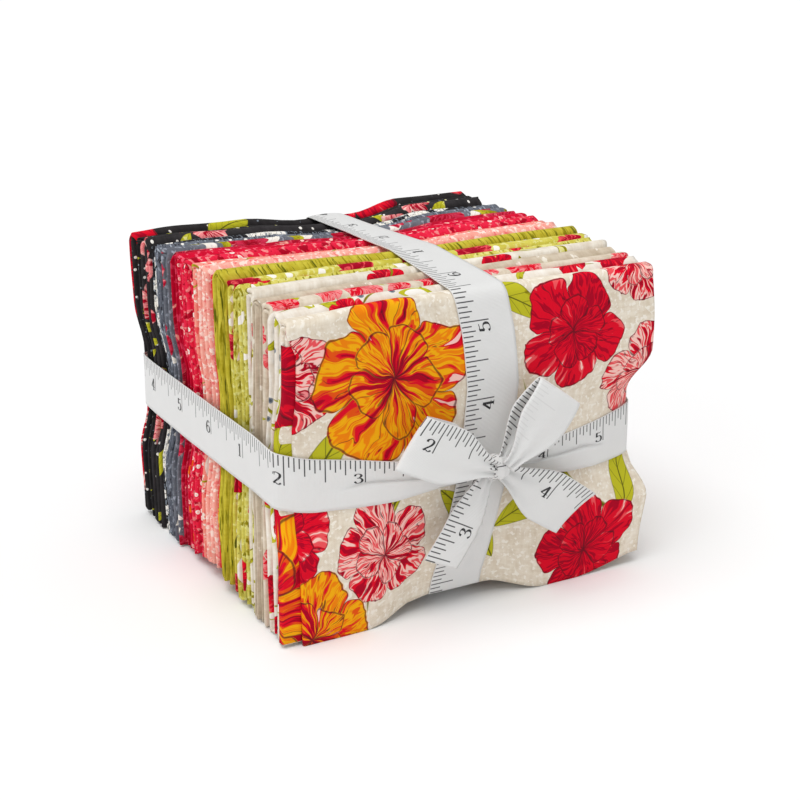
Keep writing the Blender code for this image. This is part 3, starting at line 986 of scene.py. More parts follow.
@dataclass(frozen=True)
class FoldedCloth:
    """One cut: folded in four across the bundle's width, then in four round its height.

    Lengths are in millimetres as in the solids' own table. wraps_left says that the double fold is at
    the left end. columns are for the outer ply and for each of the others, rows for the front run and
    for the others. lag is how far the front run's left edge lies in, at LAG_HEIGHTS. END_STEPS are how
    far the four runs' ends stand in.
    """

    name: str
    depth: float
    top_drop: float
    foot: float
    left: float
    right: float
    finish: Print
    wraps_left: bool = True
    columns: tuple[int, int] = (26, 14)
    rows: tuple[int, int] = (22, 12)
    lag: tuple[float, ...] = (0.0, 0.0, 0.0, 0.0)

    LAG_HEIGHTS = (0.0, 45.0, 96.0, 103.0)
    END_STEPS = (0.0 * MM, 0.9 * MM, 0.35 * MM, 1.3 * MM)

    def _fold_path(self, front: float, tie: Tie) -> tuple[Array, Array]:
        """The folded cut's middle line in the YZ plane, and the run that each of its points is on.

        Up the front run, over the top, down the back run, round the bottom turn, up, over inside and
        down again, with the four runs a quarter of the cloth's depth apart.

        Args:
            front: The cloth's front face in the untied stack.
            tie: The stack's sizes.

        Returns:
            Points as (y, z), and the run numbers from 0 to 3.
        """
        run = self.depth * MM / 4
        lines = front + run * (np.arange(4) + 0.5)
        middle, foot = front + 2 * run, self.foot * MM
        crown, heel = tie.height - self.top_drop * MM - 2 * run, foot + run
        many, few = self.rows
        back = few + 4
        over, turn = np.linspace(math.pi, 0.0, 15)[1:-1], np.linspace(0.0, math.pi, 9)[1:-1]
        (over_c, over_s), (turn_c, turn_s) = rounded(over, 0.80), rounded(turn, 0.9)
        pieces = [
            (np.full(many, lines[0]), np.linspace(foot, crown, many), np.zeros(many)),
            (middle + 1.5 * run * over_c, crown + 1.5 * run * over_s, np.linspace(0, 3, 15)[1:-1]),
            (np.full(back, lines[3]), np.linspace(crown, heel, back), np.full(back, 3.0)),
            ((lines[3] + lines[2]) / 2 + 0.5 * run * turn_c, heel - 0.5 * run * turn_s, np.linspace(3, 2, 9)[1:-1]),
            (np.full(few, lines[2]), np.linspace(heel, crown, few), np.full(few, 2.0)),
            (middle + 0.5 * run * turn_c, crown + 0.5 * run * turn_s, np.linspace(2, 1, 9)[1:-1]),
            (np.full(few, lines[1]), np.linspace(crown, foot + 1.2 * MM, few), np.ones(few)),
        ]
        y, z, layer = (np.concatenate(part) for part in zip(*pieces))
        return gridded(y, z), layer

    @staticmethod
    def _pass(back: bool, count: int, margins: tuple[float, float], level: float) -> tuple[Array, Array, Array]:
        """One ply's pass across the width, with its points closer together at the ends.

        Args:
            back: Whether it runs back from the far end.
            count: How many points.
            margins: How far it stops short of the near end and of the far end.
            level: Its offset.

        Returns:
            For each point, its share of the way across, what it stands beyond that, and its offset.
        """
        eased = 0.5 - 0.5 * np.cos(np.linspace(0.0, math.pi, count))
        share = 0.6 * eased + 0.4 * np.linspace(0.0, 1.0, count)
        share = 1.0 - share if back else share
        return share, margins[0] * (1.0 - share) - margins[1] * share, np.full(count, level)

    def _ply_path(self, pitch: float) -> tuple[Array, Array, Array]:
        """The same cut's folds across the width.

        From its raw edge, outermost, the cut runs to the far end, wraps round three plies, runs back,
        folds, runs out inside, folds and runs back to its other raw edge.

        Args:
            pitch: From one ply to the next.

        Returns:
            For each point, its share of the way across, what it stands beyond that, and its ply's
            offset from the middle of the four.
        """
        outer, inner = self.columns
        lap, turn = np.linspace(0.0, math.pi, 8)[1:-1], np.linspace(0.0, math.pi, 6)[1:-1]
        folded = (0.5 * pitch, 1.5 * pitch)
        parts = [
            self._pass(False, outer, (0.4 * MM, 1.5 * pitch), 1.5 * pitch),
            (np.ones(len(lap)), 1.5 * pitch * (np.sin(lap) - 1.0), 1.5 * pitch * np.cos(lap)),
            self._pass(True, inner, folded, -1.5 * pitch),
            (np.zeros(len(turn)), 0.5 * pitch * (1.0 - np.sin(turn)), -pitch - 0.5 * pitch * np.cos(turn)),
            self._pass(False, inner, folded, -0.5 * pitch),
            (np.ones(len(turn)), pitch * (0.5 * np.sin(turn) - 1.5), -0.5 * pitch * np.cos(turn)),
            self._pass(True, inner, (1.0 * MM, 1.5 * pitch), 0.5 * pitch),
        ]
        share, stand, level = (np.concatenate(part) for part in zip(*parts))
        return (1.0 - share, -stand, level) if self.wraps_left else (share, stand, level)

    def _surface(self, front: float, number: int, tie: Tie) -> tuple[Array, Array]:
        """The cut's surface in the untied stack: along X by one fold, along the YZ path by the other.

        A point is (left + share (right - left) + stand, path + level times the path's normal).

        Args:
            front: The cloth's front face.
            number: Its number in the stack, which picks its layers' end steps.
            tie: The stack's sizes.

        Returns:
            Points and cloth coordinates, both rows x columns.
        """
        path, layer = self._fold_path(front, tie)
        share, stand, level = self._ply_path(self.depth * MM / 16)
        tangent = unit(np.gradient(path, axis=0))
        steps = [np.interp(layer, range(4), np.roll(self.END_STEPS, -k)) for k in (number, number + 1)]
        lag = np.clip(1.0 - layer, 0.0, 1.0) * np.interp(path[:, 1] / MM, self.LAG_HEIGHTS, self.lag) * MM
        left = -tie.width / 2 + self.left * MM + steps[0] + lag
        right = tie.width / 2 - self.right * MM - steps[1]
        x = left + share[:, None] * (right - left) + stand[:, None]
        y = path[:, 0] - level[:, None] * tangent[:, 1]
        z = path[:, 1] + level[:, None] * tangent[:, 0]
        along = distances(gridded(share * tie.width + stand, level)) - tie.width / 2
        along = -along if self.wraps_left else along
        points = gridded(x, y, np.maximum(z, self.foot * MM + PLY_THICKNESS / 2))
        return points, gridded(along[:, None], distances(path))

    def build(self, front: float, number: int, tie: Tie, motifs: Motifs) -> tuple[Piece, Array]:
        """Build and dress the cloth.

        Args:
            front: The cloth's front face in the untied stack.
            number: Its number in the stack.
            tie: The stack's sizes.
            motifs: The shared groups.

        Returns:
            The piece and the points of its surface.
        """
        points, uv = self._surface(front, number, tie)
        points = tie.place(points)
        mesh = grid_mesh(self.name + "_sheet", points, uv)
        return add_piece(mesh, [self.finish.make(motifs)], [self.name], PLY_THICKNESS), points


@dataclass(frozen=True)
class EndFold:
    """The front cloth's next ply, which stands out at the left beyond the front ply's edge."""

    low: float = 1.5 * MM
    high: float = 99.0 * MM
    overlap: float = 2.0 * MM
    outer: float = 0.1 * MM
    bend: float = 1.0 * MM
    flat_share: float = 0.6
    print_x: float = -104.0 * MM
    print_width: float = 8.0 * MM
    rows: int = 60
    columns: int = 16

    def build(self, front: float, cloth: FoldedCloth, tie: Tie, material: Material) -> tuple[Piece, Array]:
        """Build and dress the ply: flat from behind the front ply to near the end, then a quarter ellipse.

        Args:
            front: The front cloth's front face in the untied stack.
            cloth: The front cloth.
            tie: The stack's sizes.
            material: The ply's print.

        Returns:
            The piece and its points.
        """
        run = cloth.depth * MM / 4
        z = np.linspace(self.low, self.high, self.rows)[:, None]
        t = np.linspace(0.0, 1.0, self.columns)
        angle = 0.5 * math.pi * np.clip((t - self.flat_share) / (1.0 - self.flat_share), 0.0, 1.0)
        inner, outer = cloth.lag[1] * MM + self.overlap, self.outer + self.bend
        x = -tie.width / 2 + inner + (outer - inner) * np.minimum(t / self.flat_share, 1.0) - self.bend * np.sin(angle)
        points = tie.place(gridded(x, front + 0.98 * run + 1.2 * run * (1.0 - np.cos(angle)), z))
        uv = gridded(self.print_x - self.print_width * t, z)
        mesh = grid_mesh("cloth_01_end_fold", points[:, ::-1], uv[:, ::-1])
        return add_piece(mesh, [material], (), PLY_THICKNESS), points


# Ribbon


@dataclass
class Band:
    """A run of ribbon, as a grid of points from its marked edge to its other edge, and its ruler.

    reading is the ruler's inches at each row of the grid.
    """

    name: str
    points: Array
    reading: Array
    closed: bool
    node: str

    @staticmethod
    def reading_along(middle: Array, at_row: int, inches: float, sign: float = 1.0) -> Array:
        """The ruler's reading at each row, which is inches at one row and grows with the length."""
        length = distances(middle)
        return inches + sign * (length - length[at_row]) / INCH

    def length(self) -> float:
        """The ribbon's own length along its middle."""
        middle = self.points[:, self.points.shape[1] // 2]
        return float(distances(np.concatenate([middle, middle[:1]]) if self.closed else middle)[-1])

    def build(self, materials: Sequence[Material]) -> Piece:
        """Build and dress the band, its UV map in inches along and shares across.

        Args:
            materials: Its printed side's and its wrong side's.

        Returns:
            The piece.
        """
        reading = self.reading
        if self.closed:
            reading = np.append(reading, 2 * reading[-1] - reading[-2])
        uv = gridded(reading[:, None], np.linspace(0.0, 1.0, self.points.shape[1]))
        mesh = grid_mesh(self.name, self.points, uv, wrap=self.closed)
        return add_piece(mesh, materials, [self.node], TAPE_THICKNESS)

    def map(self, along: Array, across: Array, height: float) -> Array:
        """Points on the band at readings and shares across, a height above it.

        Args:
            along: Ruler readings.
            across: Shares of the width, from the marked edge.
            height: Above the band's middle surface.

        Returns:
            The points, found between the grid's four nearest ones.
        """
        rows, columns = self.points.shape[:2]
        order = np.argsort(self.reading)
        row = np.clip(np.interp(along, self.reading[order], order.astype(float)), 0.0, rows - 1.001)
        column = np.clip(across, 0.0, 0.999) * (columns - 1)
        i, j = row.astype(int), column.astype(int)
        a, b = (row - i)[..., None], (column - j)[..., None]
        p00, p10, p01, p11 = (self.points[i + di, j + dj] for di, dj in ((0, 0), (1, 0), (0, 1), (1, 1)))
        spot = (1 - a) * ((1 - b) * p00 + b * p01) + a * ((1 - b) * p10 + b * p11)
        return spot + height * unit(np.cross(p10 - p00, p01 - p00))


@dataclass(frozen=True)
class Strip:
    """A loop or tail of the bow, in millimetres and degrees, as in the solids' own table.

    slip moves a loop's return sideways, crease and curl lift its middle and its edges, opening is how
    far a loop stands open, and folded is the share of the width that is folded behind.
    """

    name: str
    across: float
    up: float
    bulge: float
    turn: float
    is_loop: bool
    marked_edge: float
    reading: float
    printed_out: bool = True
    slip: float = 0.0
    crease: float = 0.0
    curl: float = 0.0
    opening: float = 0.5
    folded: float = 0.0


@dataclass(frozen=True)
class Ribbon:
    """The tie: a band round the waist, a band over the top and under the bottom, and the bow.

    The WAIST tables give the band's two edges and its fold, in millimetres from the height that the
    ribbon grips, at the distances WAIST_AT from the knot.
    """

    tie: Tie
    knot_x: float = 2.0 * MM
    knot_z: float = 49.9 * MM
    knot_half: tuple[float, float, float] = (4.8 * MM, 3.3 * MM, 3.9 * MM)
    gap: float = 0.15 * MM
    left_sag: float = 1.7 * MM
    sway: float = 0.18 * MM
    pleat: float = 0.35 * MM
    arch: float = 0.5 * MM
    narrowing: float = 0.30
    columns: int = 17

    WAIST_AT = (0.0, 17.0, 22.0, 32.0, 45.0, 58.5, 69.0, 72.0)
    WAIST_UPPER = (0.5, 1.0, 1.3, 1.8, 3.8, 6.0, 8.5, 9.5)
    WAIST_LOWER = (-8.0, -9.0, -9.7, -11.4, -12.0, -11.6, -10.0, -9.5)
    WAIST_FOLD = (-4.5, -5.4, -5.2, -4.7, -3.8, -2.8, -1.6, 0.0)
    # Across the band, in sixteenths: upper edge, fold, its inside, its underside, lower edge
    FOLD_AT = (0.0, 9.0, 10.0, 11.0, 16.0)
    FOLD_LIFT = (0.0, 0.1, 0.2, 1.0, 0.35)

    def waist(self, stack: Array) -> Band:
        """The band round the waist, gathered towards the knot across the front.

        Its plan is the stack's convex hull at the waist. Across the front its edges draw together
        towards the knot, and the width they lose is tucked in a lengthwise fold.

        Args:
            stack: Every point of the cloths.

        Returns:
            The band.
        """
        tie = self.tie
        near = stack[np.abs(stack[:, 2] - tie.waist_z(stack[:, 0]) + 1.5 * MM) < 11.0 * MM][:, :2]
        line = hull_line(near, self.gap + TAPE_THICKNESS / 2 + PLY_THICKNESS / 2)
        start = np.argmin(np.hypot(line[:, 0] - self.knot_x, line[:, 1] - line[:, 1].min()))
        line = np.roll(line, -int(start), axis=0)
        x, y = line.T
        v = np.linspace(0.0, 1.0, self.columns)
        away = np.abs(x - self.knot_x) / MM
        front, left = smooth(-30 * MM, -50 * MM, y), smooth(-40 * MM, -68 * MM, x)
        grip = tie.waist_z(x) - self.left_sag * left * (0.75 - 0.5 * y / tie.depth)
        plain = (TAPE_WIDTH / 2, -TAPE_WIDTH / 2, 0.0)
        tables = (self.WAIST_UPPER, self.WAIST_LOWER, self.WAIST_FOLD)
        edges = (np.interp(away, self.WAIST_AT, table) * MM for table in tables)
        upper, lower, fold = (grip + side + front * (edge - side) for side, edge in zip(plain, edges))

        drawn = front * smooth(58.0, 38.0, away)
        tuck = np.minimum(TAPE_WIDTH - (upper - lower), fold - lower - 1.2 * MM) * 0.5 * drawn
        heights = np.stack([upper, fold, fold - tuck, fold + 0.2 * MM * drawn, lower])
        corners = np.array(self.FOLD_AT) / self.FOLD_AT[-1]
        share = np.stack([np.interp(v, corners, row) for row in np.eye(len(corners))])
        flat = upper[:, None] * (1 - v) + lower[:, None] * v
        sway = self.sway * ripples(np.arange(len(x))[:, None] * 1.6, v * 30, 21, 60.0, 18.0, 4)
        pleats = self.pleat * (front * smooth(34.0, 10.0, away))[:, None] * np.sin(7 * math.pi * v + 0.4)
        lift = drawn[:, None] * np.interp(v, corners, self.FOLD_LIFT) * MM
        lift = lift + np.maximum(sway, -0.1 * MM) + np.maximum(pleats, -0.2 * MM)
        plan = line[:, None] + outward(line)[:, None] * lift[..., None]
        points = np.dstack([plan, flat + drawn[:, None] * (heights.T @ share - flat)])
        at_inch = int(np.argmin(np.hypot(x + 43 * MM, (y - y.min()) * 3)))
        reading = Band.reading_along(np.column_stack([line, grip]), at_inch, 21.0)
        return Band("ribbon_waist_band", points[::-1], reading[::-1].copy(), True, "ribbon_waist")

    def upright(self, stack: Array, waist: Band) -> Band:
        """The band over the top and under the bottom, outside the waist band where they cross.

        Its side view is the convex hull of the stack near it and of the waist band's crossings. Over the
        top it arches and narrows towards the back.

        Args:
            stack: Every point of the cloths.
            waist: The waist band.

        Returns:
            The band.
        """
        tie = self.tie
        middle = tie.upright_x((stack[:, 1] - tie.middle_y) / (tie.depth / 2), stack[:, 2])
        near = stack[np.abs(stack[:, 0] - middle) < 9.5 * MM][:, 1:]
        band = waist.points.reshape(-1, 3)
        crossing = band[(np.abs(band[:, 0] - self.knot_x) < 9 * MM) & (band[:, 1] > 0.0)][:, 1:]
        line = hull_line(np.concatenate([near, crossing]), self.gap + TAPE_THICKNESS)
        y, z = line.T
        v = np.linspace(0.0, 1.0, self.columns)
        back = np.clip((y - tie.middle_y) / (tie.depth / 2), -1.0, 1.0)
        above = (smooth(-0.9, 0.7, back) * smooth(60 * MM, 90 * MM, z))[:, None]
        under_knot = (smooth(-0.80, -0.95, back) * np.exp(-(((z - 50 * MM) / (16 * MM)) ** 2)))[:, None]
        lift = 0.12 * MM * ripples(np.arange(len(y))[:, None] * 1.6, v * 30, 22, 70.0, 20.0, 4)
        lift = lift + 0.5 * MM * under_knot + self.arch * above * (1.0 - (2.0 * v - 1.0) ** 2)
        middle = tie.upright_x(back, z)
        across = middle[:, None] + TAPE_WIDTH * (1.0 - self.narrowing * above) * (v - 0.5)
        points = np.dstack([across, line[:, None] + outward(line)[:, None] * lift[..., None]])
        at_inch = int(np.argmin(np.hypot((y - y.min()) * 3, z - 98.5 * MM)))
        reading = Band.reading_along(gridded(middle, y, z), at_inch, 17.0, -1.0)
        return Band("ribbon_upright_band", points, reading, True, "ribbon_upright")

    def bow_part(self, strip: Strip, seat: float) -> Band:
        """A loop or a tail, widened from the gathers at the knot to the tape's full width.

        A loop is a flat teardrop: out on the far side from the cloth, round its end and back beneath.
        A tail is one low wave. Gathers are two waves across, which die out along the strip.

        Args:
            strip: Its table row.
            seat: The surface that the knot sits on.

        Returns:
            The band.
        """
        far = np.array([strip.across, 0.0, strip.up]) * MM
        length = float(np.linalg.norm(far))
        ahead = far / length
        start, bulge, stand = 2.2 * MM, strip.bulge * MM, 0.9 * MM
        if strip.is_loop:
            angle = np.radians(np.linspace(6, 174, 64))
            along = start + (length - start) * (np.sin(angle) ** 2 - math.sin(angle[0]) ** 2)
            off = stand + bulge * (0.42 + strip.opening * np.cos(angle) * np.sqrt(np.sin(angle)))
            returned = smooth(0.0, 1.0, np.linspace(0.0, 1.0, 64))
        else:
            part = np.linspace(0.0, 1.0, 40)
            along = start + (length - start) * part
            off = stand + bulge * (0.25 + 0.75 * np.sin(0.8 * math.pi * part))
            returned = np.zeros(40)
        part = (along - start) / (length - start)
        v = np.linspace(0.0, 1.0, self.columns)
        half = 0.5 * TAPE_WIDTH * (0.27 + 0.73 * smooth(0.0, 0.62, part))
        fold = 1.0 - strip.folded * smooth(0.0, 0.7, part)[:, None]
        share = fold - np.abs(v - fold)
        behind = smooth(0.0, 0.06, v - fold)
        square = math.atan2(ahead[0], -ahead[2]) + math.radians(strip.turn) * part
        wide = gridded(np.cos(square), 0.0, np.sin(square)) * strip.marked_edge
        middle = np.array([self.knot_x, seat, self.knot_z]) + ahead * along[:, None]
        middle = middle + wide * (strip.slip * MM * returned * part)[:, None]
        gathers = np.exp(-((along - start) / (10 * MM)))[:, None] * 0.9 * MM * np.sin(TAU * (2.1 * v + 0.15))
        ridge = strip.crease * MM * part[:, None] * (1.0 - np.abs(v - 0.45) / 0.55)
        curl = strip.curl * MM * (part**2)[:, None] * (2 * v - 1) ** 2
        points = middle[:, None] + wide[:, None] * (half[:, None] * (fold - 2 * share))[..., None]
        points[..., 1] -= np.maximum(off[:, None] + gathers + ridge + curl - 0.8 * MM * behind, 0.3 * MM)
        spine = middle - gridded(0.0, off, 0.0)
        reading = Band.reading_along(spine, len(spine) // 3, strip.reading, strip.marked_edge)
        step = -1 if (strip.marked_edge > 0) == strip.printed_out else 1
        return Band(strip.name + "_tape", points[::step], reading[::step].copy(), False, strip.name)

    def knot(self, seat: float, material: Material) -> Piece:
        """The knot: the ribbon wrapped once round the gathers, its marked edge at the left.

        Round the wrap, a point is at the half sizes times the 0.7th powers of the cosine and sine.
        Along X, with u from -1 to 1, that shrinks by (1 - |u|^4)^0.4, and pleats ripple it.

        Args:
            seat: The surface that the knot sits on.
            material: The printed tape.

        Returns:
            The piece.
        """
        turn = np.linspace(0, TAU, 73)[:-1][:, None]
        u = np.sin(np.linspace(-math.pi / 2, math.pi / 2, 41))
        size = (1.0 - u**4) ** 0.4 * (1.0 + 0.055 * np.sin(9.5 * u + 0.5 * np.sin(turn)))
        c, s = rounded(turn, 0.7)
        half_x, half_y, half_z = self.knot_half
        y, z = half_y * size * s, half_z * size * c
        x = half_x * u * (1.0 + 0.06 * c) - 0.10 * z
        points = gridded(x, y, z) + np.array([self.knot_x, seat - 3.5 * MM, self.knot_z])
        uv = gridded(np.linspace(0, 1.3, 74)[:-1, None], 0.30 * (u + 1.05))
        return add_piece(grid_mesh("bow_knot_wrap", points, uv, wrap=True), [material], ["bow_knot"])


@dataclass(frozen=True)
class Numerals:
    """The ruler's plain numbers, 1 to 6 over and over, as printed shapes just above the tape.

    A stroke is a smooth line through its points, which are given as x y pairs in hundredths of the
    figure's height. It is thick where it runs upright and thin where it runs level.
    """

    height: float = 0.215
    top: float = 0.325
    thick: float = 0.150
    thin: float = 0.055
    breadth: float = 1.30
    before_mark: float = 0.025

    STROKES = (
        ("14 84 22 88 30 100", "30 100 30 50 30 0", "14 1 30 1 46 1"),
        ("9 74 10 90 28 100 46 90 49 72 40 50 20 24 7 5", "7 5 22 10 40 3 53 16"),
        ("8 78 14 95 30 100 44 92 47 76 38 60 22 54", "22 54 42 50 53 34 51 14 36 1 18 2 6 20"),
        ("40 100 40 50 40 0", "40 100 22 64 3 28", "3 28 30 28 56 28", "26 1 40 1 54 1"),
        ("13 98 30 94 50 98", "13 98 12 75 11 52", "11 52 28 62 46 55 53 33 47 10 30 0 13 3 6 18"),
        ("48 86 38 98 22 92 10 66 7 34 15 7 31 0 47 10 53 30 46 50 31 57 16 48 8 32",),
    )

    def _stroke(self, corners: str) -> Array:
        """A stroke: a Catmull-Rom line through its points, moved each way along its normal.

        Args:
            corners: The points.

        Returns:
            The line's two sides, points x 2 x 2.
        """
        knots = np.array(corners.split(), float).reshape(-1, 2) / 100
        fine = np.linspace(0.0, len(knots) - 1, 8 * len(knots))
        padded = np.concatenate([2 * knots[:1] - knots[1:2], knots, 2 * knots[-1:] - knots[-2:-1]])
        i = np.minimum(fine.astype(int), len(knots) - 2)
        t = (fine - i)[:, None]
        p0, p1, p2, p3 = (padded[i + k] for k in range(4))
        bend, twist = 2 * p0 - 5 * p1 + 4 * p2 - p3, 3 * p1 - p0 - 3 * p2 + p3
        line = 0.5 * (2 * p1 + (p2 - p0) * t + bend * t**2 + twist * t**3)
        heading = unit(np.gradient(line, axis=0))
        half = 0.5 * (self.thin + (self.thick - self.thin) * np.abs(heading[:, 1]) ** 2)
        side = gridded(-heading[:, 1], heading[:, 0]) * half[:, None]
        return np.stack([line + side, line - side], axis=1)

    def build(self, bands: Sequence[Band], material: Material) -> Piece:
        """Build one mesh of every number on every band, each left of its inch mark.

        Args:
            bands: The ribbon's runs.
            material: The printing ink.

        Returns:
            The piece.
        """
        corners, faces, count = [], [], 0
        for band in bands:
            first, last = math.ceil(band.reading.min() + 0.35), math.floor(band.reading.max())
            for inch in range(first, last + 1):
                for stroke in self.STROKES[(inch - 1) % len(self.STROKES)]:
                    flat = self._stroke(stroke)
                    along = (flat[..., 0] - 0.6) * self.breadth * self.height * TAPE_WIDTH / INCH
                    across = self.top + self.height * (1.0 - flat[..., 1])
                    spot = band.map(inch - self.before_mark + along, across, TAPE_THICKNESS / 2 + 0.05 * MM)
                    index = count + np.arange(2 * len(spot)).reshape(-1, 2)
                    faces.append(np.stack(quads(index), axis=-1).reshape(-1, 4))
                    corners.append(spot.reshape(-1, 3))
                    count += index.size
        mesh = bpy.data.meshes.new("ribbon_numbers")
        mesh.from_pydata(np.concatenate(corners), [], np.concatenate(faces))
        return add_piece(mesh, [material])


# Palette and tables


def srgb(red: int, green: int, blue: int) -> Colour:
    """A screen colour as linear light: ((c + 0.055) / 1.055) to the power 2.4 above its toe."""
    parts = (value / 255 for value in (red, green, blue))
    return tuple(part / 12.92 if part <= 0.04045 else ((part + 0.055) / 1.055) ** 2.4 for part in parts)


def flecks(cell: float, size: float, colour: Colour, seed: float, stretch: float = 1.0) -> Layer:
    """Small irregular marks of one colour, longer round the roll than across it by the stretch."""
    return Layer(Motif.FLECK, cell, size, (colour,), seed=seed, stretch=stretch)


def dots(cell: float, size: float, stops: Sequence[Colour], share: float, seed: float, jitter: float) -> Layer:
    """Round dots."""
    return Layer(Motif.DOT, cell, size, stops, share, seed, jitter=jitter)


CREAM, OAT, WHITE = srgb(243, 236, 224), srgb(222, 208, 190), srgb(247, 243, 236)
CRIMSON, RED, CORAL = srgb(172, 0, 36), srgb(224, 8, 40), srgb(236, 84, 90)
PINK, PALE_PINK, ORANGE = srgb(242, 140, 142), srgb(250, 202, 192), srgb(230, 84, 20)
GOLD, HONEY, LIME = srgb(246, 176, 16), srgb(240, 132, 12), srgb(190, 186, 40)
OLIVE, DARK_LEAF, PALE_LIME = srgb(146, 136, 16), srgb(94, 98, 16), srgb(226, 222, 140)
SLATE, STEEL, CHARCOAL = srgb(76, 84, 96), srgb(128, 136, 146), srgb(44, 42, 46)
BLACK, PEACH, ROSE = srgb(24, 24, 27), srgb(246, 168, 152), srgb(206, 46, 78)

GOLDEN = (CRIMSON, RED, ORANGE, GOLD, HONEY, GOLD, ORANGE, RED, PALE_PINK)
SCARLET = (CRIMSON, RED, CRIMSON, RED, RED, CORAL, PALE_PINK)
BLUSH = (CRIMSON, RED, PALE_PINK, CORAL, PALE_PINK, CRIMSON, PINK)
GREEN = (OLIVE, LIME, LIME, OLIVE)
LEAFY, STALK, ROSY, MILKY = (OLIVE, LIME, OLIVE), (OLIVE, LIME), (CRIMSON, RED, CORAL), (CREAM, WHITE, CREAM)

blossom, leaf, stem = (partial(Bloom, motif) for motif in (Motif.BLOSSOM, Motif.LEAF, Motif.STEM))
blossoms, leaves, stems = (partial(Layer, motif) for motif in (Motif.BLOSSOM, Motif.LEAF, Motif.STEM))

FRONT_BLOOMS = (
    stem(-30, 34, 34, GREEN, 62, 0.055, 0.22),
    stem(40, 46, 40, GREEN, -52, 0.045, -0.2),
    leaf(-58, 54, 24, GREEN, 58, 0.22),
    leaf(-6, 26, 19, GREEN, 125, 0.30, -0.1),
    leaf(20, 28, 16, GREEN, 20, 0.32),
    leaf(14, 100, 15, GREEN, -30),
    leaf(64, 30, 18, GREEN, 75, 0.26),
    blossom(-76, 88, 22, BLUSH, 10),
    blossom(-34, 82, 31, GOLDEN, 16),
    blossom(36, 88, 21, SCARLET, 48),
    blossom(70, 70, 20, BLUSH, 5),
    blossom(-39, 26, 19, BLUSH, 80),
    blossom(-74, 36, 17, SCARLET, 30),
    blossom(-66, 2, 23, GOLDEN, 33),
    blossom(43, 10, 23, SCARLET, 12),
    blossom(64, 110, 16, BLUSH, 40),
)

# What shows of the same print on the ply behind the front ply's left edge
END_BLOOMS = (
    blossom(-124, 86, 50, SCARLET, 12),
    blossom(-120, 12, 40, GOLDEN, 70),
    leaf(-108, 60, 12, GREEN, 75, 0.8),
)

# Blossoms at the corners and along the top of the last cloth
BACK_BLOOMS = (
    blossom(-82, 122, 30, SCARLET, 20),
    blossom(-80, 184, 30, BLUSH, 50),
    blossom(24, 124, 23, SCARLET, 35),
    blossom(72, 122, 16, SCARLET, 10),
    leaf(-34, 106, 10, GREEN, 15, 0.4),
    blossom(-20, 160, 32, BLUSH, 30),
    blossom(40, 180, 30, SCARLET, 60),
)

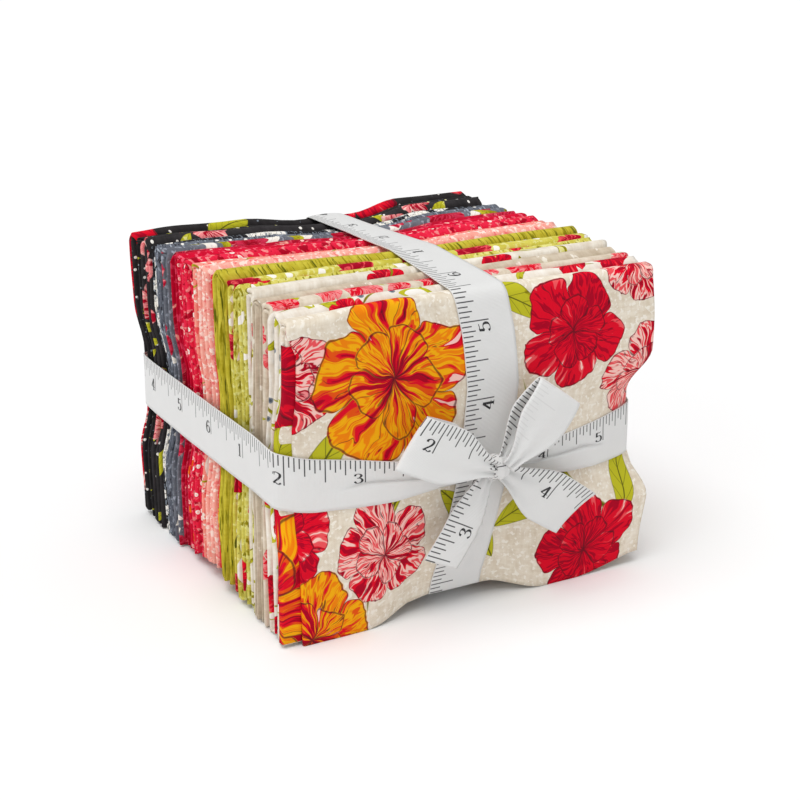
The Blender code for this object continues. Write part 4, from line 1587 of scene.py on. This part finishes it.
PRINTS = (
    Print("linen_blossom", srgb(242, 234, 219), srgb(216, 201, 178), (flecks(1.7, 0.45, CREAM, 2),), FRONT_BLOOMS, 0.8),
    Print("linen_end", RED, CRIMSON, (), END_BLOOMS, 0.8),
    Print("white_sprig", WHITE, OAT, contrast=0.7, layers=(
        stems(16, 0.62, STALK, 0.8, 2, 0.3),
        leaves(13.5, 0.50, LEAFY, 0.62, 4, 0.0),
        leaves(13.5, 0.34, (CREAM, WHITE, PALE_LIME), 0.62, 4, 0.0),
        leaves(12, 0.42, LEAFY, 0.4, 5.5, 0.5),
        blossoms(17, 0.48, ROSY, 0.55, 1.5, 0.5),
        dots(10.5, 0.10, (SLATE, STEEL), 0.4, 6, 0.8),
    )),
    Print("oat_rosebud", srgb(234, 223, 206), srgb(204, 187, 164), layers=(
        flecks(2.6, 0.42, OAT, 2),
        leaves(11, 0.45, LEAFY, 0.5, 2.5, 0.4),
        blossoms(13, 0.48, (RED, PINK, CORAL), 0.6, 3.5, 0.4),
    )),
    Print("oat_plain", srgb(218, 205, 185), srgb(190, 173, 150), (flecks(4, 0.38, CREAM, 2),)),
    Print("white_leaf", srgb(242, 236, 224), srgb(216, 204, 186), layers=(
        leaves(11, 0.54, (LIME, OLIVE, LIME), 0.85, 7, 0.0),
        leaves(11, 0.36, (CREAM, PALE_LIME, LIME), 0.85, 7, 0.0),
        blossoms(22, 0.34, ROSY, 0.4, 8, 0.5),
        stems(13, 0.6, STALK, 0.6, 4, 0.2),
    )),
    Print("lime_streak", srgb(222, 214, 112), srgb(196, 184, 66), layers=(
        flecks(2.0, 0.47, PALE_LIME, 1),
        flecks(3.0, 0.44, OLIVE, 3, 2.5),
        leaves(9, 0.50, (WHITE, CREAM), 0.45, 1, 0.0),
        blossoms(20, 0.36, ROSY, 0.45, 2, 0.3),
    )),
    Print("lime_dot", srgb(220, 212, 100), srgb(194, 182, 58), layers=(
        flecks(2.0, 0.46, PALE_LIME, 5),
        dots(6.2, 0.20, (WHITE,), 0.8, 3, 0.9),
        leaves(14, 0.44, (OLIVE, DARK_LEAF), 0.4, 6, 0.4),
        blossoms(22, 0.36, (CRIMSON, CORAL), 0.55, 2, 0.4),
    )),
    Print(
        "olive_plain",
        srgb(212, 200, 72),
        srgb(180, 164, 34),
        (flecks(9, 0.45, OLIVE, 5, 9), flecks(10, 0.41, DARK_LEAF, 9, 12)),
        contrast=0.8,
    ),
    Print("coral_leaf", CORAL, RED, layers=(
        flecks(1.8, 0.46, PINK, 2),
        leaves(26, 0.5, (DARK_LEAF, OLIVE, LIME), 0.5, 3, 0.6),
        blossoms(30, 0.50, (RED, ORANGE, GOLD, CORAL), 0.6, 5, 0.6),
    )),
    Print(
        "peach_fleck",
        srgb(252, 190, 176),
        srgb(244, 158, 144),
        (flecks(1.7, 0.48, srgb(254, 228, 218), 7), flecks(2.0, 0.42, srgb(240, 124, 122), 4)),
    ),
    Print("peach_gold", srgb(250, 170, 154), srgb(240, 130, 118), layers=(
        flecks(1.8, 0.46, CREAM, 3),
        flecks(2.2, 0.43, CORAL, 8),
        stems(11, 0.6, STALK, 0.5, 5, 0.0),
        leaves(13, 0.38, MILKY, 0.4, 9, 0.2),
    )),
    Print("rose_dot", srgb(240, 46, 80), srgb(222, 20, 56), layers=(
        flecks(1.9, 0.46, PINK, 6),
        flecks(2.8, 0.45, CRIMSON, 2),
        dots(6.0, 0.14, (PALE_PINK, WHITE), 0.6, 6, 0.95),
    )),
    Print("crimson_spark", srgb(224, 8, 56), srgb(198, 0, 42), layers=(
        flecks(1.9, 0.45, srgb(238, 96, 120), 4),
        leaves(15, 0.40, (HONEY, ORANGE, HONEY), 0.22, 4, 0.2),
        dots(5.8, 0.13, (PINK, PALE_PINK), 0.6, 3, 0.95),
    )),
    Print("crimson_petal", srgb(206, 0, 50), srgb(170, 0, 36), layers=(
        flecks(2.4, 0.44, srgb(214, 56, 88), 5),
        blossoms(22, 0.5, (CRIMSON, ROSE, PEACH), 0.55, 2, 0.6),
        dots(6, 0.10, (PALE_PINK,), 0.5, 7, 0.95),
    )),
    Print("slate_bloom", srgb(122, 125, 134), srgb(88, 92, 102), layers=(
        flecks(2.0, 0.43, srgb(160, 166, 178), 3, 2),
        leaves(12, 0.54, (WHITE, CREAM), 0.5, 3, 0.3),
        leaves(14, 0.48, STALK, 0.4, 5, 0.4),
        blossoms(20, 0.46, (CRIMSON, ROSE, PINK), 0.5, 8, 0.4),
    )),
    Print("slate_dot", srgb(118, 123, 134), srgb(84, 89, 100), layers=(
        flecks(2.6, 0.43, srgb(168, 176, 188), 3, 3),
        flecks(3.0, 0.43, CHARCOAL, 7, 4),
        dots(6.0, 0.12, (WHITE,), 0.6, 3, 0.9),
    )),
    Print("ink_sketch", CHARCOAL, BLACK, layers=(
        leaves(10, 0.56, MILKY, 0.8, 3, 1.0),
        blossoms(15, 0.48, (WHITE, CREAM), 0.5, 6, 1.0),
        flecks(2.4, 0.46, STEEL, 4, 2.5),
    )),
    Print("charcoal_bud", srgb(58, 55, 57), srgb(40, 38, 39), layers=(
        dots(4.4, 0.12, (WHITE,), 0.5, 4, 0.95),
        leaves(13, 0.50, (OLIVE, LIME, PALE_LIME), 0.5, 3, 0.5),
        blossoms(17, 0.48, (CRIMSON, PINK, PALE_PINK), 0.55, 5, 0.4),
    )),
    Print("black_dot", srgb(48, 46, 47), srgb(33, 31, 32), layers=(
        flecks(2.4, 0.36, LIME, 6),
        flecks(1.8, 0.35, STEEL, 2),
        dots(5.0, 0.12, (WHITE, PALE_LIME), 0.6, 5, 0.9),
    )),
    Print(
        "black_rose",
        srgb(50, 47, 48),
        srgb(34, 32, 33),
        (dots(5.0, 0.10, (WHITE,), 0.35, 2, 0.95), flecks(2.2, 0.34, STEEL, 5)),
        BACK_BLOOMS,
    ),
)

# name, depth, top drop, foot, left, right: front to back, the solids' own sizes in millimetres
CLOTH_ROWS = (
    ("01_linen_blossom", 6.9, 3.8, 0.0, 0.0, 0.0),
    ("02_white_sprig", 6.7, 3.4, 0.6, 0.8, 0.8),
    ("03_oat_rosebud", 6.4, 2.9, 0.0, 1.6, 0.6),
    ("04_oat_plain", 5.8, 2.6, 0.4, 1.0, 1.6),
    ("05_white_leaf", 6.4, 1.4, 1.2, 1.9, 0.8),
    ("06_lime_streak", 5.8, 1.8, 1.4, 1.2, 1.7),
    ("07_lime_dot", 6.0, 1.4, 2.0, 1.8, 0.4),
    ("08_olive_plain", 7.5, 0.0, 3.6, 0.2, 0.9),
    ("09_coral_leaf", 5.4, 2.6, 4.8, 1.8, 1.3),
    ("10_peach_fleck", 7.1, 1.0, 4.6, 0.9, 0.3),
    ("11_peach_gold", 6.2, 2.0, 4.2, 1.5, 1.1),
    ("12_rose_dot", 6.4, 1.0, 3.4, 0.7, 0.2),
    ("13_crimson_spark", 6.4, 1.2, 2.2, 1.3, 1.0),
    ("14_crimson_petal", 6.7, 1.8, 1.4, 2.0, 0.5),
    ("15_slate_bloom", 6.4, 1.4, 0.6, 0.6, 1.4),
    ("16_slate_dot", 6.0, 1.6, 0.0, 1.1, 0.7),
    ("17_ink_sketch", 6.0, 2.2, 0.0, 1.6, 1.8),
    ("18_charcoal_bud", 7.1, 0.6, 0.4, 0.5, 0.8),
    ("19_black_dot", 6.0, 1.6, 0.0, 1.2, 1.5),
    ("20_black_rose", 6.4, 0.4, 1.0, 0.9, 0.4),
)

# The two cloths whose faces show have finer grids, and the front one's left edge lies in
FACES = {
    "01_linen_blossom": {"columns": (72, 16), "rows": (56, 14), "lag": (7.0, 5.1, 3.7, 0.0)},
    "20_black_rose": {"columns": (40, 16), "rows": (30, 24)},
}

BOW = (
    #     name             across    up  bulge   turn  is_loop marked reading
    Strip("bow_loop_left", -32.2, 14.6, 11.0, -12.0, True, -1.0, 14.0, curl=0.8),
    Strip("bow_loop_right", 23.3, 22.4, 13.0, 10.0, True, 1.0, 10.0, False, slip=0.6, curl=-1.2, opening=0.34),
    Strip("bow_tail_left", -19.6, -29.5, 2.6, 9.0, False, -1.0, 15.3, crease=1.6, folded=0.32),
    Strip("bow_tail_right", 31.4, -22.0, 3.4, -20.0, False, 1.0, 9.6, curl=1.2),
)


# Studio


@dataclass(frozen=True)
class Studio:
    """A pale floor, soft light and a camera at the photo's angle."""

    azimuth: float = -28.87
    elevation: float = 18.64
    roll: float = 0.17
    focal_pixels: float = 1522.7
    frame_pixels: float = 800.0
    eye: tuple[float, float, float] = (-0.2415, -0.4440, 0.2241)
    floor_half: float = 6.0
    floor_colour: Colour = (0.93, 0.93, 0.93)
    sky: float = 0.52

    def build(self) -> None:
        """Make the floor, the lights and the camera."""
        self._camera()
        self._floor()
        self._light("top_light", (-0.22, -0.10, 1.0), 1.85, 50.0)
        self._light("left_light", (-1.0, -0.45, 0.50), 0.25, 30.0)
        scene = bpy.context.scene
        scene.world = bpy.data.worlds.new("studio")
        scene.world.use_nodes = True
        background = scene.world.node_tree.nodes["Background"]
        background.inputs["Color"].default_value = (1.0, 1.0, 1.0, 1.0)
        background.inputs["Strength"].default_value = self.sky
        scene.view_settings.view_transform = "Standard"
        scene.cycles.use_denoising = True

    def _camera(self) -> None:
        """Make the camera, from its azimuth, elevation, roll, place and focal length in pixels."""
        a, e = math.radians(self.azimuth), math.radians(self.elevation)
        back = Vector((math.sin(a) * math.cos(e), -math.cos(a) * math.cos(e), math.sin(e)))
        right = Vector((math.cos(a), math.sin(a), 0.0))
        turn = Matrix((right, back.cross(right), back)).transposed() @ Matrix.Rotation(math.radians(-self.roll), 3, "Z")
        data = bpy.data.cameras.new("camera")
        data.sensor_width = 36.0
        data.lens = self.focal_pixels / self.frame_pixels * data.sensor_width
        data.clip_start = 0.01
        camera = add_object("camera", data)
        camera.matrix_world = Matrix.Translation(self.eye) @ turn.to_4x4()
        bpy.context.scene.camera = camera

    def _floor(self) -> None:
        """Make the floor: one large pale square at z = 0."""
        ends = np.array([-self.floor_half, self.floor_half])
        corners = gridded(ends[:, None], ends, 0.0)
        mesh = grid_mesh("floor", corners, corners[..., :2])
        mesh.materials.append(plain_material("pale_floor", self.floor_colour, 0.9))
        add_object("floor", mesh)

    @staticmethod
    def _light(name: str, towards: Sequence[float], strength: float, spread: float) -> None:
        """Make a far, broad light.

        Args:
            name: Its name.
            towards: The direction that it shines from.
            strength: How strong it is.
            spread: The angle in degrees that it fills.
        """
        data = bpy.data.lights.new(name, "SUN")
        data.angle = math.radians(spread)
        data.energy = strength
        lamp = add_object(name, data)
        lamp.location = towards
        lamp.rotation_euler = Vector(towards).to_track_quat("Z", "Y").to_euler()


# The bundle


def add_cloths(tie: Tie, motifs: Motifs) -> Array:
    """Build the twenty cloths and the front one's end fold.

    Args:
        tie: The stack's sizes.
        motifs: The shared groups.

    Returns:
        Every point of the cloths.
    """
    prints = {finish.name: finish for finish in PRINTS}
    surfaces, below, front = [], [], -tie.depth / 2
    for number, (name, *sizes) in enumerate(CLOTH_ROWS):
        cloth = FoldedCloth("cloth_" + name, *sizes, prints[name[3:]], number % 5 != 3, **FACES.get(name, {}))
        piece, points = cloth.build(front, number, tie, motifs)
        if number == 0:
            end_fold, end_points = EndFold().build(front, cloth, tie, prints["linen_end"].make(motifs))
            surfaces.append(end_points.reshape(-1, 3))
        surfaces.append(points.reshape(-1, 3))
        below, front = [piece.name], front + cloth.depth * MM
        LOG.info("%s: %d faces", piece.name, len(piece.data.polygons))
    return np.concatenate(surfaces)


def add_ribbon(tie: Tie, motifs: Motifs, stack: Array) -> None:
    """Build the ribbon's two bands, the bow and the ruler's numbers.

    Args:
        tie: The stack's sizes.
        motifs: The shared groups.
        stack: Every point of the cloths.
    """
    printed = Satin("ribbon_printed").make(motifs)
    wrong_side = Satin("ribbon_wrong_side", strength=0.10).make(motifs)
    ribbon = Ribbon(tie)
    waist = ribbon.waist(stack)
    upright = ribbon.upright(stack, waist)
    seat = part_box("bow_knot")[1].y
    bands = [waist, upright] + [ribbon.bow_part(strip, seat) for strip in BOW]
    knot = ribbon.knot(seat, printed)
    for band, strip in zip(bands, (None, None, *BOW)):
        piece = band.build([printed, wrong_side])
        extra = [knot] if band is upright else []
        length = band.length() + (KNOT_WRAP if extra else 0.0)
        LOG.info("%s: %.0f mm long", piece.name, band.length() / MM)
    Numerals().build(bands, plain_material("ruler_ink", (0.02, 0.02, 0.022), 0.6))


def main() -> None:
    """Load the frame, build the cloths, the ribbon and the studio."""
    logging.basicConfig(level=logging.INFO, format="%(message)s")
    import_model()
    tie, motifs = Tie(), Motifs()
    add_ribbon(tie, motifs, add_cloths(tie, motifs))
    Studio().build()


if __name__ == "__main__":
    main()
